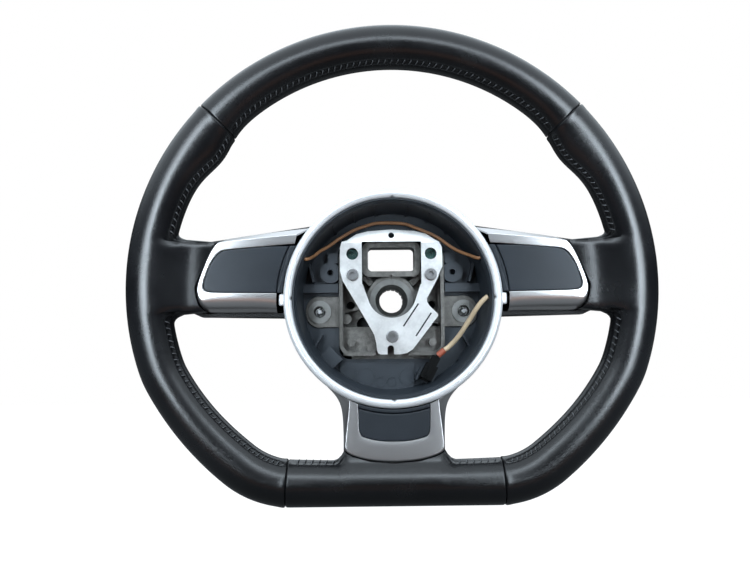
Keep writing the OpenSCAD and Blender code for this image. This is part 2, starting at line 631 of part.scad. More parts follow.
/* Black housing inside the ring */
lip_z = ring_z + ring_h - 2;
pan_low_r = 66.5;
pan_high_r = ring_in - 0.5;
module pan_bar(x, y, w, h, turn, z0, z1)
    slab(z0, z1) translate([x, y]) rotate(turn) square([w, h], center = true);
module recess_housing() {
    color("#22262c") upright() difference() {
        union() {
            rotate_extrude() polygon([[pan_low_r, pan_z], [pan_high_r, ring_z], [ring_in - fit_gap, ring_z],
                [ring_in - fit_gap, lip_z], [ring_in - 1, lip_z], [pan_high_r - pan_wall, lip_z - 4.5],
                [pan_low_r - pan_wall, pan_z + pan_wall], [pan_low_r - pan_wall, pan_z]]);
            slab(pan_z, pan_z + pan_wall) circle(r = pan_low_r - pan_wall + 0.4);
            // Ears, blocks and bars beside the tray
            mirrored() {
                peg(44.4, 20.4, 15, pan_z + 1, pan_z + 9);
                pan_bar(42.6, 31, 7.4, 7.4, 0, pan_z + 1, pan_z + 8);
                pan_bar(52, 9, 26.4, 6.2, 0, pan_z + 1, pan_z + 8.5);
                pan_bar(59, 24, 1.6, 22, -14, pan_z + 1, pan_z + 12);
                pan_bar(40.6, -8, 1.4, 22, 0, pan_z + 1, pan_z + 7);
                pan_bar(54, -30, 1.6, 13, 30, pan_z + 1, pan_z + 9.5);
            }
            // Guide ribs on the upper wall
            for (a = [51, 66, 80, 100, 114, 129]) rotate(a) side_slab(-0.6, 0.6)
                polygon([[pan_low_r - pan_wall - 1.4, pan_z + 1], [pan_low_r - 1, pan_z + 1],
                    [pan_high_r - 1, ring_z - 2], [pan_high_r - pan_wall - 1.2, ring_z - 2]]);
            // Posts under the brown wire
            for (p = clip_places) peg(p[0], p[1], 3, pan_z + 1, p[2] - wire_d / 2 - 0.6);
            // Raised block and the step of the lower floor
            pan_bar(-44.4, -41.4, 11.2, 13, 42, pan_z + 1, pan_z + 11);
            slab(pan_z + 1, pan_z + 4) intersection() {
                translate([-38, -66]) square([54, 21]);
                circle(r = pan_low_r - 1.6);
            }
            slab(pan_z + 2, pan_z + 4.6) for (p = [[-31.1, -52.4, 4.7], [-19.3, -55.1, 6.6], [-8.4, -58.9, 3.7],
                [-0.4, -58.9, 3.5], [11.2, -55.4, 6.2]]) translate([p[0], p[1]]) difference() {
                circle(r = p[2]);
                circle(r = p[2] - 0.5);
            }
            // Seat and cheeks that hold the connector
            translate([connector_at[0], connector_at[1]]) rotate(connector_turn) {
                slab(pan_z + 1, connector_z - 0.1) translate([-6, 0]) square([9, 8], center = true);
                slab(pan_z + 1, connector_z + 4) for (y = [-1, 1])
                    translate([-6, y * (connector_w / 2 + 1.1)]) square([9, 1.6], center = true);
            }
        }
        // Room for the tray and the horn-pad fixings
        slab(0, 60) {
            translate([0, 0.75]) rounded(tray_w + 2 * tray_wall + 1, 86.5, 8);
            mirrored() translate([fixing_x, fixing_y]) {
                translate([0, 1.5]) circle(d = bush_d + 6 + 1);
                translate([0, -1.5]) circle(d = bush_d + 6 + 1);
                translate([-17, -11.5]) square([17, 23]);
            }
        }
        mirrored() peg(44.4, 20.4, 4.4, pan_z + 2, 60);
        rotate(-45) translate([60, 0, pan_z + 7]) rotate([0, 90, 0]) cylinder(d = 7, h = 12);
        // Wire and lead holes in the wall
        translate([60, 0.8, 52.5]) rotate([0, 90, 0]) cylinder(d = lead_d + 1, h = 20);
        for (a = [24.5, 155.5]) rotate(a)
            translate([60, 0, 54]) rotate([0, 90, 0]) cylinder(d = wire_d + 2, h = 20);
    }
}

/* Rear cover */
module cover_shell(inset) {
    low = cover_z + inset * 1.02;
    top = ring_z + (inset > 0 ? 1 : 0);
    rotate_extrude() polygon([[0, low], [60 - inset, low], [70 - inset, 14 + inset], [74.2 - inset, 34],
        [75.2 - inset, top], [0, top]]);
}
back_line = [[50, 2], [74, 5], [100, 20], [126, 36], [trim_end + 8, 43]];
module cover_arm(inset) {
    top = ring_z + (inset > 0 ? 1 : 0);
    mirrored() intersection() {
        slab(0, top) offset(delta = -inset) cover_outline();
        translate([0, 0, inset]) side_slab(-60, 90) polygon(concat(back_line, [[trim_end + 8, 60], [50, 60]]));
    }
    intersection() {
        slab(0, top) offset(delta = -inset) low_plain();
        translate([0, 0, inset]) cross_slab(-60, 60)
            polygon([[-50, 2], [-74, 4], [low_end + 6, 38], [low_end - 2, 42], [low_end - 2, 60], [-50, 60]]);
    }
}
module low_plain() polygon([[-56, -40], [-44.4, -62.5], [-38.6, -70], [-36.4, -77], [-low_spoke_w, -86],
    [-low_spoke_w, low_end], [low_spoke_w, low_end], [low_spoke_w, -86], [36.4, -77], [38.6, -70],
    [44.4, -62.5], [56, -40]]);
module rear_cover() {
    color("#25282c") upright() difference() {
        union() {
            difference() {
                union() {
                    cover_shell(0);
                    cover_arm(0);
                }
                cover_shell(cover_wall);
                cover_arm(cover_wall);
            }
            mirrored() {
                peg(cover_screw_x, cover_screw_y, 9, cover_z, 10);
                peg(22, -34, 9, cover_z, floor_z);
            }
        }
        // Column opening, window and driver access to the fixing screws
        slab(-1, floor_z - 1) {
            circle(d = boss_d + 9);
            translate([0, 24]) rounded(window_w + 9, 36, 6);
        }
        mirrored() {
            peg(fixing_x, fixing_y, 14, -1, 8);
            peg(cover_screw_x, cover_screw_y, 4.4, -1, 12);
            peg(cover_screw_x, cover_screw_y, 7.8, -1, cover_z + 3);
            peg(22, -34, 4.4, -1, 12);
            peg(22, -34, 7.8, -1, cover_z + 3);
        }
    }
}
module cover_screws() {
    color("gray") upright() mirrored() for (p = [[cover_screw_x, cover_screw_y], [22, -34]]) difference() {
        union() {
            peg(p[0], p[1], 7, cover_z + 0.6, cover_z + 3);
            peg(p[0], p[1], 3.8, cover_z + 2.5, floor_z + 9);
        }
        translate([p[0], p[1], cover_z]) cylinder(d = 3.4, h = 1.8, $fn = 6);
    }
}

/* Steel plate with its screws */
module plate_outline() difference() {
    polygon([[-36, 42.5], [-37.3, 38], [-37.3, 21], [-35.4, 14], [-19.3, -13.6], [-13, -25], [-11.6, -31],
        [-11.1, -36.3], [-10.2, -38.4], [-8.4, -39.2], [5.6, -39.2], [10.6, -38.2], [14.6, -35.7],
        [18.7, -30.5], [33.2, -11.8], [33.2, -10.4], [27, -4.4], [25.4, -1.6], [25.3, 1], [32.7, 14.4],
        [35.2, 21], [36.8, 24], [36.6, 38], [34.4, 42.2],
        [32, 43.4], [25.2, 48.1], [17, 50.3], [0, 51.5], [-17, 50.3], [-25.4, 48.1], [-32.4, 43.4]]);
    translate([0, 27]) square([43, 31], center = true);
    translate([0, 47.1]) circle(r = 2.2);
    translate([0, 4.7]) circle(r = 17.6);
    polygon([[-21.5, 13], [21.5, 13], [17, 0], [-17, 0]]);
    mirrored() translate([screw_x, screw_y]) circle(d = shank_d + 0.6);
    mirrored() translate([screw_x, sunk_y]) circle(d = head_d - 0.6);
    translate([0, low_screw_y]) circle(d = shank_d + 0.6);
    translate([-1.2, -35]) circle(r = 2.3);
    translate([-3.5, -41]) square([4.6, 6]);
}
module steel_plate() {
    bend = 41.5;
    tip = bend + 12;
    fall = 12 * tan(tab_lean);
    color("lightgray") upright() intersection() {
        cross_slab(-40, 40) polygon([[-45, plate_z], [bend, plate_z], [tip, plate_z - fall],
            [tip, plate_z + plate_t - fall], [bend, plate_z + plate_t], [-45, plate_z + plate_t]]);
        slab(plate_z - 10, plate_z + 10) plate_outline();
    }
}
module torx_screw(x, y, seat, reach_down) difference() {
    union() {
        translate([x, y, seat]) cylinder(d1 = head_d, d2 = head_d - 1.6, h = head_h);
        peg(x, y, shank_d - 0.3, seat - reach_down, seat + eps);
    }
    translate([x, y, seat + head_h - 2]) {
        cylinder(d = 4.2, h = 3, $fn = 6);
        rotate(30) cylinder(d = 4.2, h = 3, $fn = 6);
    }
}
module plate_screws() {
    color("gray") upright() {
        mirrored() torx_screw(screw_x, screw_y, plate_z + plate_t, 13);
        torx_screw(0, low_screw_y, plate_z + plate_t, 13);
    }
}
module sunk_screws() color("seagreen") upright() mirrored() torx_screw(screw_x, sunk_y, plate_z - 6, 11);

/* Horn-pad fixings: a bush in each boss and the screw that turns in it */
module fixing_bush() {
    upright() difference() {
        union() {
            peg(fixing_x, fixing_y, bush_d, floor_z + 2, hub_h);
            peg(fixing_x, fixing_y, bush_d + 3, hub_h, hub_h + 1);
        }
        peg(fixing_x, fixing_y, fixing_d + 2 * fit_gap, 0, 60);
        peg(fixing_x, fixing_y, fixing_d + 2.6, hub_h - 6, 60);
    }
}
module fixing_screw() {
    upright() difference() {
        union() {
            peg(fixing_x, fixing_y, 11, floor_z - 3.2, floor_z + 1.7);
            peg(fixing_x, fixing_y, fixing_d, floor_z + 1.6, hub_h - 3);
            translate([fixing_x, fixing_y, hub_h - 3 - eps]) cylinder(d1 = fixing_d - 0.6, d2 = 3, h = 5);
        }
        translate([fixing_x, fixing_y, floor_z - 4]) cylinder(d = 5, h = 3.4, $fn = 6);
    }
}
module right_bush() color("darkgray") fixing_bush();
module left_bush() color("darkgray") mirror([1, 0, 0]) fixing_bush();
module right_fixing_screw() color("silver") fixing_screw();
module left_fixing_screw() color("silver") mirror([1, 0, 0]) fixing_screw();

/* Wiring */
wire_route = [[-62, 28.3, 54], [-59.6, 28, 53.2], [-55.6, 30.8, 46], [-51.5, 34.8, 41], [-45.8, 38.6, 36],
    [-37.6, 45, 31], [-27.1, 51.4, 28.4], [-18, 54.8, 27], [-10.3, 56.8, 26.4], [0, 57, 26],
    [9.8, 56.2, 26.4], [17, 53.6, 27], [23.3, 50.8, 28.4], [33, 46, 31], [42.3, 38.4, 36], [48, 34.4, 40],
    [54.6, 30.8, 46.5], [59.6, 28, 53.2], [62, 28.3, 54]];
clip_places = [[-37.6, 45, 31], [-18, 54.8, 27], [17, 53.6, 27], [33, 46, 31]];
lead_route = [[66.8, 0.8, 52.5], [64.6, -0.8, 52.3], [62, -3.4, 51.5], [59.5, -6.8, 50], [57, -10.8, 48],
    [54.8, -14.6, 46], [52.3, -18.6, 44], [50, -22.4, 42], [47.6, -26, 40], [45, -29.4, 38], [42.2, -32.4, 36],
    [39.6, -34.8, 35.2], [37.4, -36.2, 35]];
connector_at = [26.5, -50.4];
connector_turn = 62.5;
connector_w = 9;
connector_z = tray_h + 0.4;
function unit(v) = v / norm(v);
function heading(path, i) = unit(path[min(i + 1, len(path) - 1)] - path[max(i - 1, 0)]);
function across(t) = unit(cross(t, [0.3, 0.2, 1]));
module swept(path, d, n) {
    points = [for (i = [0:len(path) - 1]) let(t = heading(path, i), a = across(t), b = cross(t, a))
        for (k = [0:n - 1]) path[i] + d / 2 * (a * cos(360 * k / n) + b * sin(360 * k / n))];
    last = (len(path) - 1) * n;
    faces = [for (i = [0:len(path) - 2], k = [0:n - 1]) each strip(i * n, (i + 1) * n, k, (k + 1) % n)];
    polyhedron(points, concat(faces, [[for (k = [0:n - 1]) k]], [[for (k = [n - 1:-1:0]) last + k]]));
}
module brown_wire() color("peru") upright() swept(wire_route, wire_d, 8);
module beige_lead() color("wheat") upright() swept(lead_route, lead_d, 8);
sleeve_from = lead_route[len(lead_route) - 1];
module lead_sleeve() {
    color("orangered") upright() translate(sleeve_from) rotate([0, 0, 220]) rotate([0, 92, 0])
        translate([0, 0, 0.35]) cylinder(d = lead_d + 0.9, h = 6);
}
module lead_connector() {
    color("#15171a") upright() translate([connector_at[0], connector_at[1], connector_z])
        rotate(connector_turn) {
            translate([3, -3, 0.4]) cube([7.5, 6, 8]);
            translate([-7, -connector_w / 2, 0]) cube([11, connector_w, 9]);
            translate([-9, -2.5, 0]) cube([3, 5, 6]);
            translate([-5, -1.6, 8.5]) cube([8, 3.2, 2]);
        }
}

armature();
splined_hub();
rim_foam();
leather_top();
leather_left();
leather_right();
leather_bottom();
recess_housing();
rear_cover();
bezel_ring();
left_spoke_trim();
right_spoke_trim();
bottom_spoke_trim();
left_insert();
right_insert();
bottom_insert();
steel_plate();
plate_screws();
sunk_screws();
left_bush();
right_bush();
left_fixing_screw();
right_fixing_screw();
brown_wire();
beige_lead();
lead_sleeve();
lead_connector();
cover_screws();
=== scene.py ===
"""Dresses the CAD model of a car steering wheel: leather, trims, wires, finishes, lights and camera."""

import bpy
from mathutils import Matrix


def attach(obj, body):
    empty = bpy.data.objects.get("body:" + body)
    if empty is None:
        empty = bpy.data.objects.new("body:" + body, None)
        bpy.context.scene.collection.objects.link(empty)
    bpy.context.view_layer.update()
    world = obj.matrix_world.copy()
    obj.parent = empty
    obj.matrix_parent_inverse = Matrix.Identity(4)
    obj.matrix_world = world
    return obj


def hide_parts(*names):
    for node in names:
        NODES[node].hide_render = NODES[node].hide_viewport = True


bl_info = {
    "name": "Car Steering Wheel",
    "version": (1, 0, 0),
    "blender": (4, 5, 0),
    "location": "View3D > Sidebar > Wheel",
    "description": "Dresses the CAD model of a leather steering wheel and sets up its studio",
    "category": "Object",
}

from math import acos, ceil, cos, exp, hypot, pi, radians, sin, sqrt, tan

import bmesh
import bpy
from mathutils import Matrix, Vector

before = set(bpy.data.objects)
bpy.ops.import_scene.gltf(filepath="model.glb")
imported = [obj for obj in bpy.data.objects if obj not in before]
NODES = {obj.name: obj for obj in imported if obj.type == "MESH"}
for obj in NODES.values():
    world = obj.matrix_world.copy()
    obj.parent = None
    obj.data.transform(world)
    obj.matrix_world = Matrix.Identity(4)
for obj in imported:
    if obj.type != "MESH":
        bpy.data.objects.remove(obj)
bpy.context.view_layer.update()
MM = 0.001


# ---------------------------------------------------------------- properties


def size_property(label, words, value, low, high):
    """A length in millimetres that a user can change in the panel."""
    return bpy.props.FloatProperty(name=label, description=words, default=value * MM,
                                   min=low * MM, max=high * MM, unit="LENGTH")


class WheelSizes(bpy.types.PropertyGroup):
    """Sizes of the dressed pieces that a user would change."""

    panel_round: size_property("Panel edge", "Radius of the folded ends of the panels", 1.1, 0.4, 1.6)
    panel_lift: size_property("Side panel lift", "How far the side panels stand up", 0.35, 0, 0.8)
    stitch_pitch: size_property("Stitch pitch", "Distance from one stitch to the next", 4.8, 3, 7)
    thread: size_property("Thread", "Diameter of the sewing thread", 0.75, 0.4, 1.2)
    seam_depth: size_property("Seam depth", "Depth of the sewn seam inside the rim", 0.8, 0, 1.5)
    wire: size_property("Wire", "Diameter of the brown wire", 2.4, 2, 2.6)
    lead: size_property("Lead", "Diameter of the beige lead", 3.5, 3, 3.6)


def colour_property(label, words, value):
    """A colour that a user can pick in the panel."""
    return bpy.props.FloatVectorProperty(
        name=label, description=words, default=value, size=3, min=0.0, max=1.0, subtype="COLOR")


class WheelColours(bpy.types.PropertyGroup):
    """Colours of the finishes that a user would change."""

    leather: colour_property("Leather", "Colour of the leather", (0.0044, 0.0046, 0.0054))
    thread: colour_property("Thread", "Colour of the sewing thread", (0.085, 0.088, 0.094))
    silver: colour_property("Silver", "Colour of the silver trims", (0.62, 0.605, 0.605))
    bezel: colour_property("Bezel", "Colour of the bezel ring", (0.80, 0.815, 0.83))
    slate: colour_property("Slate", "Colour of the dark inserts", (0.016, 0.0205, 0.027))
    housing: colour_property("Housing", "Colour of the black housing", (0.021, 0.028, 0.037))
    brown: colour_property("Brown wire", "Colour of the brown wire", (0.30, 0.145, 0.065))
    beige: colour_property("Beige lead", "Colour of the beige lead", (0.60, 0.47, 0.31))
    sleeve: colour_property("Sleeve", "Colour of the sleeve on the lead", (0.34, 0.085, 0.045))


# ---------------------------------------------------------------- mesh tools


def at(point):
    """The shared frame's point for millimetres across, up the wheel and towards the driver."""
    return Vector((point[0], -point[2], point[1])) * MM


def added(name, data):
    """A new object in the scene."""
    thing = bpy.data.objects.new(name, data)
    bpy.context.scene.collection.objects.link(thing)
    return thing


def solid_mesh(name, points, faces):
    """A mesh of points in millimetres, welded and with its faces turned outwards."""
    mesh = bpy.data.meshes.new(name)
    mesh.from_pydata([at(p) for p in points], [], faces)
    work = bmesh.new()
    work.from_mesh(mesh)
    bmesh.ops.remove_doubles(work, verts=work.verts, dist=1e-6)
    bmesh.ops.recalc_face_normals(work, faces=work.faces)
    work.to_mesh(mesh)
    work.free()
    return mesh


def place(name, points, faces, body="wheel", slot=None, sharp=40.0):
    """Makes a piece from points in millimetres and lets it ride on a body."""
    piece = added(name, solid_mesh(name, points, faces))
    round_off(piece.data, sharp)
    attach(piece, body)
    return piece


def round_off(mesh, sharp):
    """Shades a mesh smooth apart from its sharp edges."""
    mesh.shade_smooth()
    if sharp is not None:
        mesh.set_sharp_from_angle(angle=radians(sharp))


def applied(piece):
    """Turns a piece's modifiers into its mesh."""
    bpy.context.view_layer.update()
    whole = piece.evaluated_get(bpy.context.evaluated_depsgraph_get())
    mesh = bpy.data.meshes.new_from_object(whole)
    piece.modifiers.clear()
    old = piece.data
    piece.data = mesh
    bpy.data.meshes.remove(old)
    mesh.name = piece.name
    return piece


def sheet_faces(rows, columns, start=0, round_rows=False, round_columns=False):
    """Quads of a grid of points, which may close on itself either way."""
    faces = []
    for i in range(rows if round_rows else rows - 1):
        for j in range(columns if round_columns else columns - 1):
            a, b = i * columns, (i + 1) % rows * columns
            k = (j + 1) % columns
            faces.append((start + a + j, start + b + j, start + b + k, start + a + k))
    return faces


def merged(parts):
    """Points and faces of several meshes as one."""
    points, faces = [], []
    for some_points, some_faces in parts:
        faces += [tuple(i + len(points) for i in face) for face in some_faces]
        points += some_points
    return points, faces


def along(points):
    """The length of a line of points, and a function that gives the point at a share of it."""
    lengths = [0.0]
    for a, b in zip(points, points[1:]):
        lengths.append(lengths[-1] + (b - a).length)

    def value(t):
        want = t * lengths[-1]
        for k, (a, b) in enumerate(zip(points, points[1:])):
            if lengths[k + 1] >= want - 1e-9:
                span = lengths[k + 1] - lengths[k]
                return a.lerp(b, (want - lengths[k]) / span if span > 1e-9 else 0.0)
        return points[-1]
    return lengths[-1], value


def smooth_line(points, step):
    """Points at even steps along a smooth curve through the given points, and its length."""
    given = [Vector(p) for p in points]
    ends = [2 * given[0] - given[1]] + given + [2 * given[-1] - given[-2]]
    fine = []
    for a, b, c, d in zip(ends, ends[1:], ends[2:], ends[3:]):
        for k in range(12):
            t = k / 12
            fine.append(0.5 * (2 * b + (c - a) * t + (2 * a - 5 * b + 4 * c - d) * t * t
                               + (3 * b - a - 3 * c + d) * t ** 3))
    length, value = along(fine + [given[-1]])
    count = max(2, round(length / step))
    return [value(n / count) for n in range(count + 1)], length


def tube(line, radius, sides=12, thin=None):
    """Points and faces of a closed round tube along a line."""
    points, count = [], len(line)
    side = None
    for i, centre in enumerate(line):
        ahead = (line[min(i + 1, count - 1)] - line[max(i - 1, 0)]).normalized()
        side = ahead.orthogonal() if side is None else side - ahead * side.dot(ahead)
        side.normalize()
        other = ahead.cross(side)
        r = radius * (thin[i] if thin else 1.0)
        points += [centre + r * (side * cos(2 * pi * k / sides) + other * sin(2 * pi * k / sides))
                   for k in range(sides)]
    faces = sheet_faces(count, sides, round_columns=True)
    faces.append(tuple(range(sides)))
    faces.append(tuple((count - 1) * sides + k for k in reversed(range(sides))))
    return points, faces


def prism(outline, low, high):
    """Points and faces of an outline pulled up from one height to another."""
    n = len(outline)
    points = [(x, y, low) for x, y in outline] + [(x, y, high) for x, y in outline]
    faces = [(i, (i + 1) % n, (i + 1) % n + n, i + n) for i in range(n)]
    return points, faces + [tuple(reversed(range(n))), tuple(range(n, 2 * n))]


def grown(outline, gap):
    """An outline moved outwards by a gap."""
    area = sum(a[0] * b[1] - b[0] * a[1] for a, b in zip(outline, outline[1:] + outline[:1]))
    gap = gap if area > 0 else -gap
    moved = []
    for a, b, c in zip(outline[-1:] + outline, outline, outline[1:] + outline[:1]):
        before = Vector((b[1] - a[1], a[0] - b[0])).normalized()
        after = Vector((c[1] - b[1], b[0] - c[0])).normalized()
        both = before + after
        both *= gap * 2 / max(0.4, both.length_squared)
        moved.append((b[0] + both.x, b[1] + both.y))
    return moved


def mirrored(points):
    """The same points on the wheel's other side."""
    return [(-p[0], *p[1:]) for p in points]


# ---------------------------------------------------------------- rim


RIM_RISE, HALF_W, HALF_D, RIM_Z = 8.6, 15.5, 16.5, 58.0
RIM_ARCS = ((185.0, 108.5), (80.0, 10.5), (214.0, 22.0), (74.5, 39.0))
RIM_TOP = RIM_RISE + RIM_ARCS[0][0]
THUMB_SWELL, WEB_HALF = 5.6, 8.6
SIDE_REACH, SIDE_FILLET, LOW_REACH, LOW_FILLET = 33.0, 12.0, 7.5, 8.0
SPOKE_LOW, SPOKE_HIGH, LOW_HALF, LOW_SEAM_X = -10.0, 41.0, 35.3, 74.0


def walk_plan():
    """Start point, heading and length of each arc along the middle of the rim."""
    x, y, head, plan = 0.0, RIM_TOP - HALF_W, 0.0, []
    for radius, turn in RIM_ARCS:
        r, a, b = radius - HALF_W, radians(head), radians(head + turn)
        plan.append((x, y, head, r, r * radians(turn)))
        x, y, head = x + r * (sin(b) - sin(a)), y + r * (cos(b) - cos(a)), head + turn
    return plan, x, y


RIM_PLAN, FLAT_X, FLAT_Y = walk_plan()
HALF_LENGTH = sum(arc[4] for arc in RIM_PLAN) + FLAT_X
LOW_END = FLAT_Y - HALF_W + 30.0


def height_length(y):
    """Length along the rim at which its middle is at a height."""
    r = RIM_PLAN[0][3]
    return acos((y - RIM_RISE) / r) * r


S_HIGH, S_LOW = height_length(SPOKE_HIGH), height_length(SPOKE_LOW)
S_SEAM, S_THUMB = (radians(a) * RIM_PLAN[0][3] for a in (46.5, 53.0))
S_LOW_SEAM, S_LOW_SPOKE = HALF_LENGTH - LOW_SEAM_X, HALF_LENGTH - LOW_HALF


def rim_at(s):
    """Point and outward direction at a length along the middle of the rim from its top."""
    if s < 0:
        x, y, u, v = rim_at(-s)
        return -x, y, -u, v
    if s > HALF_LENGTH:
        x, y, u, v = rim_at(2 * HALF_LENGTH - s)
        return -x, y, -u, v
    for x, y, head, r, length in RIM_PLAN:
        if s <= length:
            a, b = radians(head), radians(head) + s / r
            return x + r * (sin(b) - sin(a)), y + r * (cos(b) - cos(a)), sin(b), cos(b)
        s -= length
    return FLAT_X - s, FLAT_Y, 0.0, -1.0


def fold(s):
    """The length on the right half that mirrors a length on the left half."""
    return -s if s < 0 else 2 * HALF_LENGTH - s if s > HALF_LENGTH else s


def smooth(t):
    """A soft step from 0 to 1."""
    t = max(0.0, min(1.0, t))
    return t * t * (3 - 2 * t)


def fillet(d, r):
    """How far a fillet of radius r reaches at a distance d."""
    return 0.0 if d >= r else r - sqrt(r * r - (r - d) ** 2)


def past(s):
    """Distances beyond the side spoke and beyond the bottom spoke."""
    return max(S_HIGH - fold(s), fold(s) - S_LOW), S_LOW_SPOKE - fold(s)


def web_reach(s):
    """How far the leather runs in along the spokes."""
    total = 0.0
    for d, full, r in zip(past(s), (SIDE_REACH, LOW_REACH), (SIDE_FILLET, LOW_FILLET)):
        total += full if d <= 0 else fillet(d, r)
    return total


def web_half(s):
    """Half thickness of the leather along the spokes."""
    most = 0.0
    for d, r in zip(past(s), (SIDE_FILLET, LOW_FILLET)):
        if d < r:
            edge = 1.0 if d <= -6 else 0.4 if d >= 0 else 0.4 + 0.6 * sqrt(1 - ((d + 6) / 6) ** 2)
            most = max(most, edge)
    return WEB_HALF * most


def swell(s):
    """How far the thumb rests stand out of the inner side of the rim."""
    s = fold(s)
    return (THUMB_SWELL * exp(-((s - S_THUMB) / 21) ** 2)
            + 2 * exp(-((s - S_LOW - 130) / 50) ** 2))


def half_depth(s, d, inset):
    """Half depth of the rim at a distance d inwards from its middle."""
    base = HALF_W + swell(s) - inset
    reach = web_reach(s)
    rim = (HALF_D - inset) * sqrt(max(0.0, 1 - min(1.0, d / base) ** 2))
    if reach <= 0:
        return rim
    web = max(0.0, web_half(s) - inset) * sqrt(max(0.0, 1 - min(1.0, d / (base + reach)) ** 6))
    depth = (rim ** 4 + web ** 4) ** 0.25
    flare = web + (HALF_D - inset - web) * (0.5 + 0.5 * cos(pi * min(1.0, d / min(30.0, base + reach))))
    return depth + max(0.0, flare - depth) * min(1.0, reach / 12)


def section_point(s, angle, inset):
    """Point of the rim's section: out from its middle, and towards the driver."""
    if cos(angle) >= 0:
        return (HALF_W - inset) * cos(angle), (HALF_D - inset) * sin(angle)
    d = -cos(angle) * (HALF_W + swell(s) - inset + web_reach(s))
    depth = half_depth(s, d, inset)
    return -d, depth if sin(angle) > 1e-9 else -depth if sin(angle) < -1e-9 else 0.0


def rim_point(s, out, front):
    """Point in the wheel's frame for a section point at a length along the rim."""
    x, y, u, v = rim_at(s)
    level = smooth((-out - 10) / 12) * smooth(1 - past(s)[0] / SIDE_FILLET)
    return x + u * out, y + v * out * (1 - level), RIM_Z + front


def stitch_line(s):
    """Distance inwards from the rim's middle at which the panels are sewn."""
    return HALF_W + swell(s) - (2.5 if fold(s) < S_LOW_SEAM else 0.9)


def sewn(s, start, end):
    """How much of the sewn seam shows at a length along the rim."""
    side, low = past(s)
    away = min(side - SIDE_FILLET + 9, low - LOW_FILLET + 7, s - start - 2, end - s - 2)
    return max(0.0, min(1.0, away / 4))


SECTION_ANGLES = ([k * 6.0 for k in range(-15, 16)] + [93.0 + 3 * k for k in range(10)]
                  + [123.0 + 2.2 * k for k in range(16)] + [160.0, 165.0, 170.0, 175.0]
                  + [180.0 + 7.5 * k for k in range(12)])


def panel_mesh(start, end, sizes, lift):
    """Points and faces of a leather panel with folded ends and its seam along the inside."""
    fold_r = sizes.panel_round / MM
    pitch = sizes.stitch_pitch / MM
    steps = [fold_r * k for k in (0.0, 0.02, 0.14, 0.38, 0.7, 1.0)] + [1.9, 3.0, 4.5, 6.5]
    middle = end - start - 2 * steps[-1]
    count = ceil(middle / 2.4)
    lengths = ([start + d for d in steps]
               + [start + steps[-1] + middle * k / count for k in range(1, count)]
               + [end - d for d in reversed(steps)])
    points = []
    for s in lengths:
        edge = min(s - start, end - s)
        inset = fold_r - sqrt(fold_r ** 2 - (fold_r - edge) ** 2) if edge < fold_r else 0.0
        inset -= lift * exp(-(max(0.0, edge - fold_r) / 2.6) ** 2)
        show = sewn(s, start, end)
        pucker = 0.5 - 0.5 * cos(2 * pi * s / pitch)
        for angle in SECTION_ANGLES:
            a = radians(angle)
            deeper = 0.0
            if 90 < angle < 180 and show > 0:
                d = -cos(a) * (HALF_W + swell(s) + web_reach(s))
                away = d - stitch_line(s)
                deeper = show * (sizes.seam_depth / MM * exp(-(away / 0.75) ** 2)
                                 + 0.16 * pucker * exp(-(away / 2.6) ** 2)
                                 - 0.10 * exp(-((abs(away) - 2.0) / 1.0) ** 2))
            out, front = section_point(s, a, inset + deeper)
            points.append(rim_point(s, out, front))
    n = len(SECTION_ANGLES)
    faces = sheet_faces(len(lengths), n, round_columns=True)
    faces.append(tuple(range(n)))
    faces.append(tuple((len(lengths) - 1) * n + k for k in reversed(range(n))))
    return points, faces


SIDE_OUTLINE = [(40, 53), (56.2, 51.7), (107.9, 44.3), (119.5, 42.4), (122.3, 40), (129.5, 25.5),
                (136.3, 8), (135.5, 1), (133.2, -5), (130, -8), (126, -9.4), (84, -9.4), (80.2, -11.2),
                (77.5, -13.4), (75, -16.4), (40, -17)]
COVER_OUTLINE = [(40, 53), (56.2, 51.7), (107.9, 44.3), (119.5, 42.4), (129.5, 41), (142.9, 38),
                 (142.9, -8), (134, -12), (40, -12)]
LOW_HALF_OUTLINE = [(50, -56), (44.4, -62.5), (38.6, -70), (36.4, -77), (35.3, -86),
                    (35.3, LOW_END + 10), (33, LOW_END + 6.6), (28.4, LOW_END + 4.4),
                    (17, LOW_END + 1.3), (0, LOW_END)]
LOW_OUTLINE = LOW_HALF_OUTLINE + mirrored(LOW_HALF_OUTLINE[-2::-1])


ROOM = 0.25
SPOKE_BACK, TRIM_FOOT, COVER_FRONT, SPOKE_FRONT = 20, 49.7, 49.9, 90


def spoke_cutters(side):
    """Solids that take the room of a spoke's trim and cover out of a leather panel."""
    if side == 0:
        trim, x = LOW_OUTLINE, LOW_HALF + ROOM
        cover = [(-x, LOW_END - ROOM), (x, LOW_END - ROOM), (x, LOW_END + 40), (-x, LOW_END + 40)]
    else:
        trim, cover = SIDE_OUTLINE, grown(COVER_OUTLINE, ROOM)
        if side < 0:
            trim, cover = mirrored(trim), mirrored(cover)
    return [prism(grown(trim, ROOM), TRIM_FOOT, SPOKE_FRONT), prism(cover, SPOKE_BACK, COVER_FRONT)]


def cut_away(piece, solids):
    """Takes solids out of a piece."""
    for points, faces in solids:
        mesh = solid_mesh("cutter", points, faces)
        cutter = added("cutter", mesh)
        cut = piece.modifiers.new("room", "BOOLEAN")
        cut.operation = "DIFFERENCE"
        cut.solver = "EXACT"
        cut.object = cutter
        applied(piece)
        bpy.data.objects.remove(cutter)
        bpy.data.meshes.remove(mesh)
    return piece


